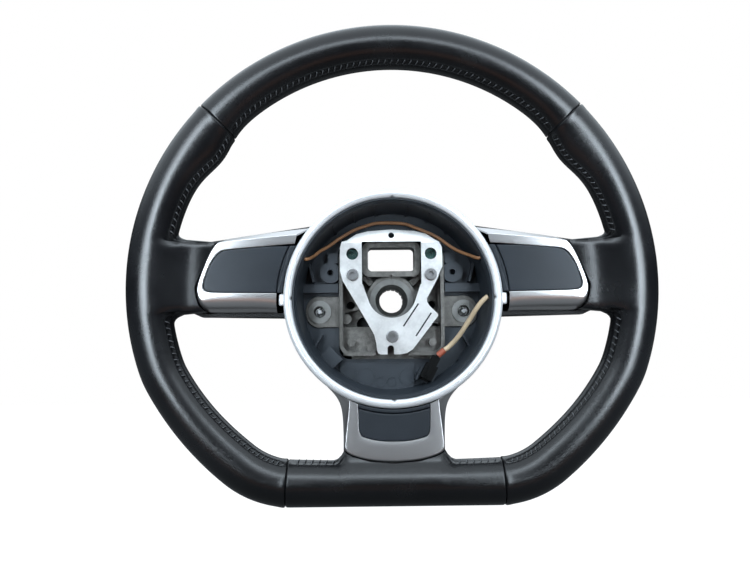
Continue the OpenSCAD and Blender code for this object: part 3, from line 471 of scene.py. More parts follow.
def stitch_mesh(start, end, sizes):
    """Points and faces of the row of slanted stitches of a panel."""
    pitch, radius = sizes.stitch_pitch / MM, sizes.thread / MM / 2
    parts = []
    for n in range(ceil(start / pitch), int(end / pitch) + 1):
        s = n * pitch
        if sewn(s, start, end) < 0.9:
            continue
        line = []
        for t in (-1.0, -0.72, -0.35, 0.0, 0.35, 0.72, 1.0):
            d = stitch_line(s) - 1.1 * t
            lift = 0.34 - 0.80 * abs(t) ** 3
            along = s + 0.9 * t
            depth = half_depth(along, d, 0.0)
            slope = (half_depth(along, d + 0.2, 0.0) - half_depth(along, d - 0.2, 0.0)) / 0.4
            size = hypot(1, slope)
            line.append(Vector(rim_point(along, -d + lift * slope / size, depth + lift / size)))
        parts.append(tube(line, radius, 6, thin=(0.6, 0.9, 1, 1.05, 1, 0.9, 0.6)))
    return merged(parts)


# ---------------------------------------------------------------- trims and inserts


TRIM_BACK, TRIM_DROP, TRIM_WALL = 50.25, 2.3, 1.1
PLATE_R, STRIP_R, STRIP_END_R = 81.1, 76.9, 80.5
PLATE_LIFT, STRIP_LIFT, SOFT_EDGE = -0.25, -1.0, 0.55


def side_bow(x, _y):
    """Height of a side trim's front face at a distance from the middle."""
    return 64.6 - 3.8 * (max(0.0, 150 - abs(x)) / 74) ** 2.4


def low_bow(_x, y):
    """Height of the bottom trim's front face."""
    return 60.8 + (-76.7 - y) * 0.056


def rounder(rows):
    """Cuts the corners of several matching lines at once, twice over."""
    for _ in range(2):
        finer = [rows[0]]
        for a, b in zip(rows, rows[1:]):
            for t in (0.25, 0.75):
                finer.append([(1 - t) * p + t * q for p, q in zip(a, b)])
        rows = finer + [rows[-1]]
    return rows


def closer(rows, step):
    """Adds rows where two of them are far apart."""
    dense = [rows[0]]
    for a, b in zip(rows, rows[1:]):
        parts = max(1, ceil(hypot(b[2] - a[2], b[3] - a[3]) / step))
        dense += [[p + (q - p) * k / parts for p, q in zip(a, b)] for k in range(1, parts + 1)]
    return dense


def frame_profile(row, bow):
    """Section of a trim: up its wall, round its edge, over its face and down beside the insert."""
    bx, by, cx, cy, ex, ey, r = row
    foot = Vector((bx, by, TRIM_BACK))
    crest = Vector((cx, cy, bow(cx, cy)))
    lip = Vector((ex, ey, bow(ex, ey)))
    u, v = (foot - crest), (lip - crest)
    half = u.angle(v) / 2
    r = min(r, 0.94 * min(u.length, v.length) * tan(half))
    u.normalize()
    v.normalize()
    middle = crest + (u + v).normalized() * r / sin(half)
    first, last = crest + u * r / tan(half) - middle, crest + v * r / tan(half) - middle
    line = [foot, foot.lerp(middle + first, 0.5)]
    line += [middle + first.slerp(last, k / 12) * r for k in range(13)]
    inner = lip - v * 0.45
    line += [(middle + last).lerp(inner, k / 3) for k in (1, 2)] + [inner]
    line += [lip - v * 0.18 - Vector((0, 0, 0.06)), lip - Vector((0, 0, 0.4)),
             lip - Vector((0, 0, TRIM_DROP))]
    return line


def frame_mesh(rows, bow):
    """Points and faces of a trim shell that follows its matching lines."""
    outer = [frame_profile(row, bow) for row in rows]
    n = len(outer[0])
    points = [tuple(p) for line in outer for p in line]
    inner = []
    for i, line in enumerate(outer):
        before, after = outer[max(i - 1, 0)], outer[min(i + 1, len(outer) - 1)]
        for j, p in enumerate(line):
            across = line[min(j + 1, n - 1)] - line[max(j - 1, 0)]
            along = after[j] - before[j]
            normal = across.cross(along)
            if normal.length > 1e-9:
                normal.normalize()
            inner.append((p, normal))
    way = 1 if sum(normal.z for p, normal in inner) > 0 else -1
    points += [tuple(p - normal * way * TRIM_WALL) for p, normal in inner]
    rows_n = len(outer)
    size = rows_n * n
    faces = sheet_faces(rows_n, n) + [tuple(reversed(f)) for f in sheet_faces(rows_n, n, size)]
    for i in range(rows_n - 1):
        faces.append((i * n, (i + 1) * n, size + (i + 1) * n, size + i * n))
        faces.append((i * n + n - 1, size + i * n + n - 1, size + (i + 1) * n + n - 1,
                      (i + 1) * n + n - 1))
    for i in (0, rows_n - 1):
        for j in range(n - 1):
            faces.append((i * n + j, i * n + j + 1, size + i * n + j + 1, size + i * n + j))
    return points, faces


# Foot, crest, insert edge and edge radius of the right side trim, from its top root round to its lower one.
SIDE_ROWS = [
    [57.7, 50.65, 66.6, 44.9, 68.2, 38.3, 0.9],
    [84.0, 47.6, 88.0, 43.0, 88.0, 36.5, 0.9],
    [107.9, 44.25, 110.5, 40.55, 110.5, 34.6, 0.9],
    [118.6, 42.6, 118.6, 39.45, 116.3, 33.95, 1.0],
    [122.2, 40.0, 122.0, 38.6, 119.6, 32.8, 1.3],
    [127.4, 31.6, 127.2, 31.4, 123.5, 29.0, 1.5],
    [131.9, 20.6, 131.7, 20.5, 127.8, 21.0, 1.6],
    [136.2, 7.8, 136.0, 7.6, 131.3, 10.4, 1.8],
    [135.4, 0.0, 135.2, 0.0, 130.9, 7.3, 3.0],
    [132.9, -5.6, 132.7, -5.5, 129.4, 5.3, 6.0],
    [129.4, -8.6, 129.3, -8.5, 126.6, 4.5, 10.0],
    [124.0, -9.3, 124.0, -9.2, 122.0, 4.2, 12.0],
    [104.0, -9.3, 104.0, -9.2, 104.0, 4.05, 12.0],
    [86.0, -9.3, 86.0, -9.2, 86.0, 3.9, 12.0],
    [81.0, -9.6, 81.0, -9.5, 80.9, 3.85, 12.0],
]
LOW_ROWS_HALF = [
    [46.2, -61.4, 30.5, -70.6, 25.0, -72.8, 0.9],
    [40.2, -67.8, 30.9, -73.6, 24.9, -76.0, 0.9],
    [36.9, -74.2, 31.3, -78.0, 24.8, -80.4, 0.9],
    [35.6, -83.0, 32.3, -84.5, 24.7, -86.0, 0.9],
    [35.3, -94.0, 33.7, -94.3, 24.4, -91.6, 1.1],
    [35.1, -103.3, 34.7, -103.0, 22.8, -95.2, 1.5],
    [33.4, -106.2, 33.0, -105.9, 19.6, -96.2, 1.8],
    [28.4, -108.7, 28.1, -108.4, 14.5, -97.6, 1.8],
    [17.0, -111.7, 16.9, -111.4, 8.0, -98.5, 1.8],
    [0.0, -113.0, 0.0, -112.7, 0.0, -98.7, 1.8],
]


def insert_patch(top, bottom, ring_r, lift, end_r=None):
    """Points and faces of a side insert's plate between two lines that start on a circle."""
    start, end = (Vector(p).angle_signed(Vector((1, 0))) for p in (bottom[0], top[0]))
    top, bottom = line_at(top), line_at(bottom)
    us = [0, 0.002, 0.006, 0.012, 0.03] + [k / 24 for k in range(2, 23)] + [0.97, 0.988, 0.994, 0.998, 1]
    vs = [0, 0.003, 0.01, 0.02, 0.05, 0.15, 0.3, 0.5, 0.7, 0.85, 0.95, 0.98, 0.99, 0.997, 1]
    arc = []
    for v in vs:
        angle = start + (end - start) * v
        arc.append(Vector((cos(angle), sin(angle))) * ring_r)
    grid = []
    for u in us:
        row = []
        for v, left in zip(vs, arc):
            straight = bottom(u).lerp(top(u), v)
            flat = straight + (1 - u) ** 3 * (left - bottom(0).lerp(top(0), v))
            if end_r:
                flat += u ** 3 * (straight.normalized() * end_r - straight)
            row.append(flat)
        grid.append(row)
    outline = [bottom(u) for u in us] + [top(u) for u in reversed(us)] + arc[-2:0:-1]
    return soft_plate(grid, outline, side_bow, lift, 2.0)


def soft_plate(grid, outline, bow, lift, skirt):
    """Points and faces of a thin plate over a grid of places, with soft edges and a skirt."""
    sides = list(zip(outline, outline[1:] + outline[:1]))
    rows, columns = len(grid), len(grid[0])
    points = []
    for p in (p for row in grid for p in row):
        d = min(edge_distance(p, a, b) for a, b in sides)
        drop = SOFT_EDGE - sqrt(max(0.0, SOFT_EDGE ** 2 - (SOFT_EDGE - d) ** 2)) if d < SOFT_EDGE else 0.0
        points.append((p.x, p.y, bow(p.x, p.y) + lift - 0.8 * drop))
    edge = ([i * columns for i in range(rows)] + [(rows - 1) * columns + j for j in range(1, columns)]
            + [i * columns + columns - 1 for i in range(rows - 2, -1, -1)] + list(range(columns - 2, 0, -1)))
    low, m = len(points), len(edge)
    points += [(*points[k][:2], bow(*points[k][:2]) + lift - skirt) for k in edge]
    faces = sheet_faces(rows, columns)
    faces += [(edge[i], edge[(i + 1) % m], low + (i + 1) % m, low + i) for i in range(m)]
    return points, faces + [tuple(range(low, low + m))]


def line_at(points):
    """A function from 0 to 1 along a line with softened corners."""
    return along([Vector(p) for p in rounder(points)])[1]


def edge_distance(p, a, b):
    """Distance from a point to a stretch of line."""
    run = b - a
    t = max(0.0, min(1.0, (p - a).dot(run) / max(1e-12, run.length_squared)))
    return (p - a - run * t).length


def on_circle(r, y):
    """The point of a circle on the right at a height."""
    return sqrt(r * r - y * y), y


SIDE_TOP = [(88, 36.25), (110.5, 34.3), (115.9, 33.65), (119.3, 32.4), (123.1, 28.8), (127.4, 20.9)]
SIDE_BOTTOM = [(86, 4.2), (104, 4.35), (122, 4.5), (126.4, 4.8), (129.2, 5.6), (130.6, 7.5),
               (130.9, 10.4), (127.4, 20.9)]


# ---------------------------------------------------------------- finishes


class Value:
    """A socket of a finish's nodes that Python's operators work on."""

    def __init__(self, finish, socket):
        self.finish, self.socket = finish, socket

    def calc(self, operation, *values):
        inputs = dict(enumerate(values))
        return self.finish.add("ShaderNodeMath", {"operation": operation}, inputs)

    def __add__(self, other):
        return self.calc("ADD", self, other)

    __radd__ = __add__

    def __sub__(self, other):
        return self.calc("SUBTRACT", self, other)

    def __rsub__(self, other):
        return self.calc("SUBTRACT", other, self)

    def __mul__(self, other):
        return self.calc("MULTIPLY", self, other)

    __rmul__ = __mul__

    def __abs__(self):
        return self.calc("ABSOLUTE", self)

    def below(self, edge):
        return self.calc("LESS_THAN", self, edge)

    def ramp(self, low, high):
        """A soft step from 0 to 1 as this value goes from one number to another."""
        return self.finish.add("ShaderNodeMapRange", {"interpolation_type": "SMOOTHSTEP", "clamp": True},
                               {"Value": self, "From Min": low, "From Max": high})


class NodeMaker:
    """Adds nodes to a tree."""

    def __init__(self, tree):
        self.tree = tree

    def add(self, kind, settings=None, inputs=None, output=0):
        """Adds a node of a type with its settings and the values or links of its sockets."""
        node = self.tree.nodes.new(kind)
        for name, value in (settings or {}).items():
            setattr(node, name, value)
        for name, value in (inputs or {}).items():
            self.feed(node.inputs[name], value)
        return None if output is None else Value(self, node.outputs[output])

    def feed(self, socket, value):
        """Links a value to a socket, or writes a number or a colour into it."""
        if isinstance(value, Value):
            self.tree.links.new(value.socket, socket)
        elif socket.type == "RGBA":
            socket.default_value = (*value, 1.0)
        else:
            socket.default_value = value


class Finish(NodeMaker):
    """A material and the nodes behind its surface."""

    def __init__(self, name, **constants):
        self.material = bpy.data.materials.new(name)
        self.material.use_nodes = True
        super().__init__(self.material.node_tree)
        self.shader = self.tree.nodes["Principled BSDF"]
        self.wear(**constants)
        self.place = self.add("ShaderNodeTexCoord", output="Object")

    def noise(self, scale, detail=2.0, rough=0.5, place=None):
        """Soft noise with a number of lumps to a metre."""
        return self.add("ShaderNodeTexNoise", inputs={
            "Vector": place or self.place, "Scale": scale, "Detail": detail, "Roughness": rough})

    def cells(self, scale, feature="F1", place=None):
        """Distance from the middle or the edge of cells, with a number of them to a metre."""
        return self.add("ShaderNodeTexVoronoi", {"feature": feature},
                        {"Vector": place or self.place, "Scale": scale})

    def stretched(self, x, y, z):
        """The place on the surface, stretched along the three directions."""
        return self.add("ShaderNodeVectorMath", {"operation": "MULTIPLY"},
                        {0: self.place, 1: (x, y, z)})

    def axes(self):
        """The place on the surface as three numbers."""
        split = self.add("ShaderNodeSeparateXYZ", inputs={"Vector": self.place})
        return [Value(self, socket) for socket in split.socket.node.outputs]

    def blend(self, factor, first, second):
        """A colour between two colours."""
        return self.add("ShaderNodeMix", {"data_type": "RGBA"}, {0: factor, 6: first, 7: second}, 2)

    def bumps(self, height, strength, distance, normal=None):
        """A surface direction from a height."""
        inputs = {"Strength": strength, "Distance": distance, "Height": height}
        if normal is not None:
            inputs["Normal"] = normal
        return self.add("ShaderNodeBump", inputs=inputs)

    def wear(self, **links):
        """Feeds the shader's sockets by their names."""
        for name, value in links.items():
            self.feed(self.shader.inputs[name.replace("_", " ")], value)
        return self.material


def darker(colour, share):
    """A colour with a share of its light."""
    return tuple(c * share for c in colour)


def leather_finish(colour):
    finish = Finish("grained_leather", Specular_IOR_Level=0.50)
    drift = finish.add("ShaderNodeTexNoise", inputs={"Vector": finish.place, "Scale": 420.0}, output="Color")
    warped = finish.add("ShaderNodeMix", {"data_type": "VECTOR"}, {0: 0.0016, 4: finish.place, 5: drift}, 1)
    cells = finish.cells(1050.0, "DISTANCE_TO_EDGE", warped)
    pores = finish.cells(2300.0, place=warped)
    broad = finish.noise(26.0, 3.0)
    cloud = finish.noise(150.0, 2.0)
    height = cells.ramp(0.0, 0.16) * 0.6 + pores * 0.3 + cloud * 0.5
    normal = finish.bumps(height, 0.24, 0.00010)
    normal = finish.bumps(broad, 0.12, 0.0012, normal)
    return finish.wear(
        Base_Color=finish.blend(broad.ramp(0.3, 0.7), darker(colour, 0.85), darker(colour, 1.25)),
        Roughness=0.19 + broad.ramp(0.3, 0.7) * 0.07 + cloud * 0.05, Normal=normal)


def thread_finish(colour):
    finish = Finish("sewing_thread", Roughness=0.62)
    twist_and_groove_shade = finish.add("ShaderNodeTexWave", {"bands_direction": "DIAGONAL"},
                       {"Vector": finish.place, "Scale": 1500.0, "Distortion": 1.5})
    # The thread's own colour is even; darker bands in the grooves of its twist are painted shade, laid on the
    # same bands that make its bumps.
    return finish.wear(Base_Color=finish.blend(twist_and_groove_shade, darker(colour, 0.7), colour),
                       Normal=finish.bumps(twist_and_groove_shade, 0.5, 0.0001))


def silver_finish(name, colour, rough, metal=0.88):
    finish = Finish(name, Metallic=metal)
    flakes = finish.cells(5200.0)
    broad = finish.noise(18.0, 2.0)
    fine = finish.noise(900.0, 2.0)
    return finish.wear(
        Base_Color=finish.blend(broad.ramp(0.35, 0.65), darker(colour, 0.97), colour),
        Roughness=rough + fine * 0.05 + broad * 0.03,
        Normal=finish.bumps(flakes * 0.6 + fine * 0.4, 0.05, 0.00005))


def moulded_finish(name, colour, rough, grain, strength, shine=0.45):
    """Moulded plastic with a fine grain."""
    finish = Finish(name, Specular_IOR_Level=shine)
    cells = finish.cells(grain)
    broad = finish.noise(35.0, 3.0)
    fine = finish.noise(grain * 1.7, 2.0)
    return finish.wear(
        Base_Color=finish.blend(broad.ramp(0.3, 0.7), darker(colour, 0.86), darker(colour, 1.12)),
        Roughness=rough + broad * 0.10 + fine * 0.05,
        Normal=finish.bumps(cells * 0.6 + fine * 0.4, strength, 0.00006))


def cast_finish():
    finish = Finish("sand_cast_metal", Metallic=0.92)
    grit = finish.noise(1500.0, 3.0, 0.65)
    lumps = finish.noise(320.0, 3.0)
    broad = finish.noise(45.0, 3.0)
    pits = finish.cells(900.0).ramp(0.05, 0.35)
    colour = finish.blend(broad.ramp(0.3, 0.7), (0.115, 0.112, 0.105), (0.185, 0.18, 0.17))
    colour = finish.blend(lumps.ramp(0.35, 0.65) * 0.45, colour, (0.075, 0.073, 0.069))
    normal = finish.bumps(grit * 0.6 + pits * 0.4, 0.75, 0.00028)
    return finish.wear(Base_Color=colour, Roughness=0.46 + grit * 0.16, Normal=normal)


def turned_finish(name, colour, rough):
    """Machined steel with fine turning marks."""
    finish = Finish(name, Metallic=1.0)
    rings = finish.noise(1.0, 2.0, place=finish.stretched(300.0, 4000.0, 300.0))
    smear = finish.noise(160.0, 3.0)
    return finish.wear(
        Base_Color=finish.blend(smear.ramp(0.35, 0.7), darker(colour, 0.82), colour),
        Roughness=rough + smear * 0.10 + rings * 0.06, Normal=finish.bumps(rings, 0.10, 0.00005))


def zinc_finish():
    finish = Finish("zinc_plated_sheet")
    x, y, z = finish.axes()
    along = x * 0.56 + z * 0.83
    across = x * 0.83 - z * 0.56
    front = y.below(-0.03385)
    bars = abs(across - 0.0174).below(0.00055) * abs(along + 0.0015).below(0.0099)
    bars = bars + abs(across - 0.0288).below(0.00055) * abs(along + 0.0021).below(0.0101)
    bars = bars * front
    cloud = finish.noise(70.0, 4.0, 0.6)
    spangle = finish.noise(420.0, 2.0)
    rolled = finish.noise(1.0, 2.0, place=finish.stretched(2600.0, 120.0, 90.0))
    scratch = finish.noise(1.0, 1.0, place=finish.stretched(60.0, 120.0, 3000.0)).ramp(0.68, 0.74)
    colour = finish.blend(cloud.ramp(0.3, 0.7), (0.66, 0.66, 0.655), (0.82, 0.82, 0.815))
    colour = finish.blend(spangle.ramp(0.45, 0.7) * 0.3, colour, (0.90, 0.90, 0.89))
    colour = finish.blend(bars, colour, (0.02, 0.021, 0.024))
    return finish.wear(
        Base_Color=colour, Metallic=0.72 - bars * 0.65,
        Roughness=0.30 + cloud * 0.16 + scratch * 0.12 + bars * 0.2,
        Normal=finish.bumps(rolled * 0.5 + spangle * 0.5, 0.10, 0.00008))


def patch_finish():
    """Screw heads with a green locking coat that is rubbed off at the edges."""
    finish = Finish("green_screw_coat", Metallic=0.35)
    rub = finish.noise(900.0, 3.0)
    broad = finish.noise(220.0, 2.0)
    colour = finish.blend(broad.ramp(0.3, 0.7), (0.012, 0.045, 0.039), (0.030, 0.090, 0.080))
    colour = finish.blend(rub.ramp(0.60, 0.70), colour, (0.15, 0.18, 0.17))
    return finish.wear(Base_Color=colour, Roughness=0.38 + rub * 0.15,
                       Normal=finish.bumps(rub, 0.25, 0.0001))


def cable_finish(name, colour):
    finish = Finish(name, Specular_IOR_Level=0.5)
    smear = finish.noise(120.0, 3.0)
    fine = finish.noise(1600.0, 2.0)
    return finish.wear(
        Base_Color=finish.blend(smear.ramp(0.35, 0.7), darker(colour, 0.84), colour),
        Roughness=0.38 + smear * 0.12, Normal=finish.bumps(fine, 0.12, 0.00006))


def foam_finish():
    finish = Finish("moulded_foam", Roughness=0.85)
    cells = finish.cells(1400.0)
    broad = finish.noise(60.0)
    return finish.wear(
        Base_Color=finish.blend(broad, (0.03, 0.03, 0.032), (0.05, 0.05, 0.052)),
        Normal=finish.bumps(cells, 0.5, 0.0002))


FINISHES = {}


def finish_of(key):
    """A finish by its key, made once."""
    colours = bpy.context.scene.wheel_colours
    makers = {
        "leather": lambda: leather_finish(tuple(colours.leather)),
        "thread": lambda: thread_finish(tuple(colours.thread)),
        "silver": lambda: silver_finish("silver_paint", tuple(colours.silver), 0.25, 0.93),
        "bezel": lambda: silver_finish("bezel_paint", tuple(colours.bezel), 0.30, 0.35),
        "slate": lambda: moulded_finish("slate_plastic", tuple(colours.slate), 0.40, 1500.0, 0.16, 0.3),
        "housing": lambda: moulded_finish("black_plastic", tuple(colours.housing), 0.42, 1100.0, 0.22),
        "cover": lambda: moulded_finish("cover_plastic", (0.0065, 0.0068, 0.0075), 0.58, 800.0, 0.45),
        "connector": lambda: moulded_finish("connector_plastic", (0.003, 0.0033, 0.0036), 0.62,
                                            1800.0, 0.1, 0.12),
        "sleeve": lambda: moulded_finish("red_sleeve", tuple(colours.sleeve), 0.40, 1400.0, 0.12),
        "cast": cast_finish,
        "hub": lambda: turned_finish("hub_steel", (0.22, 0.222, 0.215), 0.36),
        "bright": lambda: turned_finish("bright_steel", (0.72, 0.73, 0.74), 0.22),
        "screw": lambda: turned_finish("screw_steel", (0.30, 0.30, 0.305), 0.30),
        "zinc": zinc_finish,
        "patch": patch_finish,
        "foam": foam_finish,
        "brown": lambda: cable_finish("brown_jacket", tuple(colours.brown)),
        "beige": lambda: cable_finish("beige_jacket", tuple(colours.beige)),
    }
    if key not in FINISHES:
        FINISHES[key] = makers[key]()
    return FINISHES[key]


def dress(piece, key):
    """Gives a piece or a node its finish."""
    piece.data.materials.clear()
    piece.data.materials.append(finish_of(key))
    for polygon in piece.data.polygons:
        polygon.material_index = 0
    return piece


# ---------------------------------------------------------------- operators


SENSOR_MM, FOCAL_PIXELS, PHOTO_PIXELS = 36.0, 936.65, 750
CAMERA_AT = (-0.022647, -0.708527, -0.037417)
CAMERA_RIGHT = (0.99984475, -0.01490487, -0.00939763)
CAMERA_UP = (0.00824199, -0.07578544, 0.99709008)


class WHEEL_OT_camera(bpy.types.Operator):
    """Adds the camera at the photograph's viewing angle"""

    bl_idname = "wheel.camera"
    bl_label = "Camera"

    def execute(self, context):
        lens = bpy.data.cameras.new("camera")
        lens.sensor_width = SENSOR_MM
        lens.lens = FOCAL_PIXELS / PHOTO_PIXELS * SENSOR_MM
        lens.clip_start = 0.01
        camera = added("camera", lens)
        right, up = Vector(CAMERA_RIGHT).normalized(), Vector(CAMERA_UP).normalized()
        turn = Matrix((right, up, right.cross(up))).transposed().to_4x4()
        camera.matrix_world = Matrix.Translation(CAMERA_AT) @ turn
        context.scene.camera = camera
        return {"FINISHED"}


LEAD_ROUTE = [(66.8, 0.8, 52.5), (64.6, -0.8, 52.3), (62, -3.4, 51.5), (59.5, -6.8, 50), (57, -10.8, 48),
              (54.8, -14.6, 46), (52.3, -18.6, 44), (50, -22.4, 42), (47.6, -26, 40), (45, -29.4, 38),
              (42.2, -32.4, 36), (39.6, -34.8, 35.2), (37.4, -36.2, 35)]
WIRE_ROUTE = [(-62, 28.3, 54), (-59.6, 28, 53.2), (-55.6, 30.8, 46), (-51.5, 34.8, 41), (-45.8, 38.6, 36),
              (-37.6, 45, 31), (-27.1, 51.4, 28.4), (-18, 54.8, 27), (-10.3, 56.8, 26.4), (0, 57, 26),
              (9.8, 56.2, 26.4), (17, 53.6, 27), (23.3, 50.8, 28.4), (33, 46, 31), (42.3, 38.4, 36),
              (48, 34.4, 40), (54.6, 30.8, 46.5), (59.6, 28, 53.2), (62, 28.3, 54)]


class WHEEL_OT_cords(bpy.types.Operator):
    """Lays the beige lead and the brown wire along their routes"""

    bl_idname = "wheel.cords"
    bl_label = "Lead and wire"

    def execute(self, context):
        sizes = context.scene.wheel_sizes
        line, length = smooth_line(LEAD_ROUTE, 1.2)
        lead = place("lead", *tube(line, sizes.lead / MM / 2, 16), slot="beige_cable")
        dress(lead, "beige")
        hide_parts("beige_lead")
        dress(NODES["lead_sleeve"], "sleeve")
        dress(NODES["lead_connector"], "connector")
        tuple(at(LEAD_ROUTE[0]))
        length * MM
        [tuple(at(p)) for p in line]
        line, length = smooth_line(WIRE_ROUTE, 1.6)
        wire = place("wire", *tube(line, sizes.wire / MM / 2, 14), slot="brown_cable")
        dress(wire, "brown")
        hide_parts("brown_wire")
        return {"FINISHED"}


SEAM_GAP = 0.3
# Each panel's word, the spoke cut out of it (1 right, -1 left, 0 bottom), and its start and end along the rim.
PANELS = (("top", None, -S_SEAM, S_SEAM), ("right", 1, S_SEAM, S_LOW_SEAM),
          ("left", -1, -S_LOW_SEAM, -S_SEAM), ("bottom", 0, S_LOW_SEAM, 2 * HALF_LENGTH - S_LOW_SEAM))


class WHEEL_OT_leather(bpy.types.Operator):
    """Makes the four leather panels with their seams"""

    bl_idname = "wheel.leather"
    bl_label = "Leather panels"

    def execute(self, context):
        sizes = context.scene.wheel_sizes
        gap = SEAM_GAP / 2
        for word, side, start, end in PANELS:
            mesh = panel_mesh(start + gap, end - gap, sizes, sizes.panel_lift / MM if side else 0.0)
            panel = place(f"leather_front_{word}", *mesh, slot="black_leather")
            if side is not None:
                cut_away(panel, spoke_cutters(side))
                round_off(panel.data, 42.0)
            dress(panel, "leather")
            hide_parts(f"leather_{word}")
        return {"FINISHED"}


class WHEEL_OT_stitches(bpy.types.Operator):
    """Sews the panels together along the inside of the rim"""

    bl_idname = "wheel.stitches"
    bl_label = "Stitches"

    def execute(self, context):
        sizes = context.scene.wheel_sizes
        for word, _side, start, end in PANELS:
            points, faces = stitch_mesh(start, end, sizes)
            if not points:
                raise RuntimeError(f"stitches_{word} has no stitch")
            dress(place(f"stitches_{word}", points, faces, sharp=None), "thread")
        return {"FINISHED"}


def place_on_spokes(side_mesh, low_mesh, word, node, slot, key, sharp=40.0):
    """Places one mesh on both side spokes and another on the bottom spoke."""
    for side, (points, faces) in (("right", side_mesh), ("left", side_mesh), ("bottom", low_mesh)):
        points = mirrored(points) if side == "left" else points
        piece = place(f"{side}_{word}", points, faces, slot=slot, sharp=sharp)
        dress(piece, key)
        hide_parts(f"{side}_{node}")


class WHEEL_OT_trims(bpy.types.Operator):
    """Makes the silver trims of the three spokes"""

    bl_idname = "wheel.trims"
    bl_label = "Silver trims"

    def execute(self, context):
        left_half = [[-r[0], r[1], -r[2], r[3], -r[4], r[5], r[6]] for r in LOW_ROWS_HALF[-2::-1]]
        side_mesh = frame_mesh(closer(rounder(SIDE_ROWS), 5.0), side_bow)
        low_mesh = frame_mesh(closer(rounder(LOW_ROWS_HALF + left_half), 4.0), low_bow)
        place_on_spokes(side_mesh, low_mesh, "trim", "spoke_trim", "silver_paint", "silver", 35.0)
        return {"FINISHED"}


class WHEEL_OT_inserts(bpy.types.Operator):
    """Makes the dark inserts in the trims"""

    bl_idname = "wheel.inserts"
    bl_label = "Dark inserts"

    def execute(self, context):
        main = insert_patch([on_circle(PLATE_R, 36.6)] + SIDE_TOP, [on_circle(PLATE_R, 4.15)] + SIDE_BOTTOM,
                            PLATE_R, PLATE_LIFT)
        step = insert_patch([on_circle(STRIP_R, 37.1), on_circle(STRIP_END_R, 36.7)],
                            [on_circle(STRIP_R, 4.1), on_circle(STRIP_END_R, 4.12)],
                            STRIP_R, STRIP_LIFT, STRIP_END_R)
        place_on_spokes(merged([main, step]), low_insert_mesh(), "plate", "insert", "slate_plastic", "slate")
        return {"FINISHED"}


def low_insert_mesh():
    """Points and faces of the bottom insert: its plate and the strip beside the ring."""
    half = [(24.55, -78.0), (24.5, -86.0), (24.15, -91.4), (22.6, -94.9), (19.5, -95.9),
            (14.4, -97.3), (8.0, -98.2)]
    low_edge = line_at(mirrored(half) + [(0.0, -98.4)] + half[::-1])
    count, columns = 61, [0, 0.003, 0.012, 0.03, 0.08, 0.2, 0.4, 0.6, 0.8, 0.92, 0.97, 0.988, 0.997, 1]
    parts = []
    for ring, lift, strip in ((80.0, PLATE_LIFT, False), (STRIP_R, STRIP_LIFT, True)):
        grid = []
        for i in range(count):
            t = 0.5 - 0.5 * cos(pi * i / (count - 1))
            x = -24.5 + 49.0 * t
            upper = Vector((x, -sqrt(ring * ring - x * x)))
            lower = Vector((x, -sqrt(79.4 ** 2 - x * x))) if strip else low_edge(0.02 + 0.96 * t)
            grid.append([upper.lerp(lower, v) for v in columns])
        outline = [row[0] for row in grid] + grid[-1][1:] + [row[-1] for row in reversed(grid[:-1])]
        parts.append(soft_plate(grid, outline + grid[0][-2:0:-1], low_bow, lift, 1.6))
    return merged(parts)


RING_PROFILE = [(70.2, 50.1), (70.2, 57.0), (70.25, 59.4), (70.5, 60.2), (71.0, 60.7), (71.8, 61.1),
                (72.8, 61.35), (73.8, 61.35), (74.7, 61.05), (75.5, 60.5), (76.0, 59.9), (76.3, 59.2),
                (76.4, 57.5), (76.4, 50.1)]


def ring_mesh():
    """Points and faces of the bezel ring with its four notches."""
    angles = [k * 2.5 for k in range(144)]
    for k in range(4):
        angles += [90 * k + d for d in (-1.6, -1.2, -0.8, -0.4, 0.4, 0.8, 1.2, 1.6)]
    angles = sorted(a % 360 for a in angles)
    points = []
    for angle in angles:
        x, y = cos(radians(angle)), sin(radians(angle))
        notch = max(0.0, 1 - abs((angle + 45) % 90 - 45) / 1.4) * 1.1
        for r, z in RING_PROFILE:
            deep = notch * max(0.0, 1 - (r - RING_PROFILE[0][0]) / 1.6) if z > 57.5 else 0.0
            points.append((x * (r + deep), y * (r + deep), z - 0.9 * deep))
    return points, sheet_faces(len(angles), len(RING_PROFILE), round_rows=True, round_columns=True)


def tab_mesh(side):
    """Points and faces of the tab between the ring and a side trim."""
    points = []
    for t in (0, 0.04, 0.14, 0.5, 0.86, 0.96, 1):
        y, end = -4.6 + 8.0 * t, abs(2 * t - 1) ** 10
        dip = 0.7 * end
        for r, z in ((75.6, 50.2), (75.6, 58.3 - dip), (77.4, 58.3 - dip), (78.8, 58.15 - dip),
                     (79.4, 57.7 - dip), (79.6, 56.9 - dip), (79.6, 50.2)):
            points.append((side * sqrt((r - 0.35 * end) ** 2 - y * y), y, z))
    return points, sheet_faces(7, 7, round_columns=True) + [tuple(range(7)), tuple(range(48, 41, -1))]


class WHEEL_OT_ring(bpy.types.Operator):
    """Makes the bezel ring with its tabs and notches"""

    bl_idname = "wheel.ring"
    bl_label = "Bezel ring"

    def execute(self, context):
        mesh = merged([ring_mesh(), tab_mesh(1), tab_mesh(-1)])
        piece = place("bezel", *mesh, slot="silver_paint", sharp=50.0)
        dress(piece, "bezel")
        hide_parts("bezel_ring")
        return {"FINISHED"}


class WHEEL_OT_finishes(bpy.types.Operator):
    """Gives the nodes that keep their shape their finishes"""

    bl_idname = "wheel.finishes"
    bl_label = "Finishes"

    def execute(self, context):
        keys = {
            "armature": "cast", "splined_hub": "hub", "rim_foam": "foam", "recess_housing": "housing",
            "rear_cover": "cover", "steel_plate": "zinc", "plate_screws": "screw", "sunk_screws": "patch",
            "left_bush": "hub", "right_bush": "hub", "left_fixing_screw": "bright",
            "right_fixing_screw": "bright", "cover_screws": "screw",
        }
        for name, key in keys.items():
            dress(NODES[name], key)
        return {"FINISHED"}


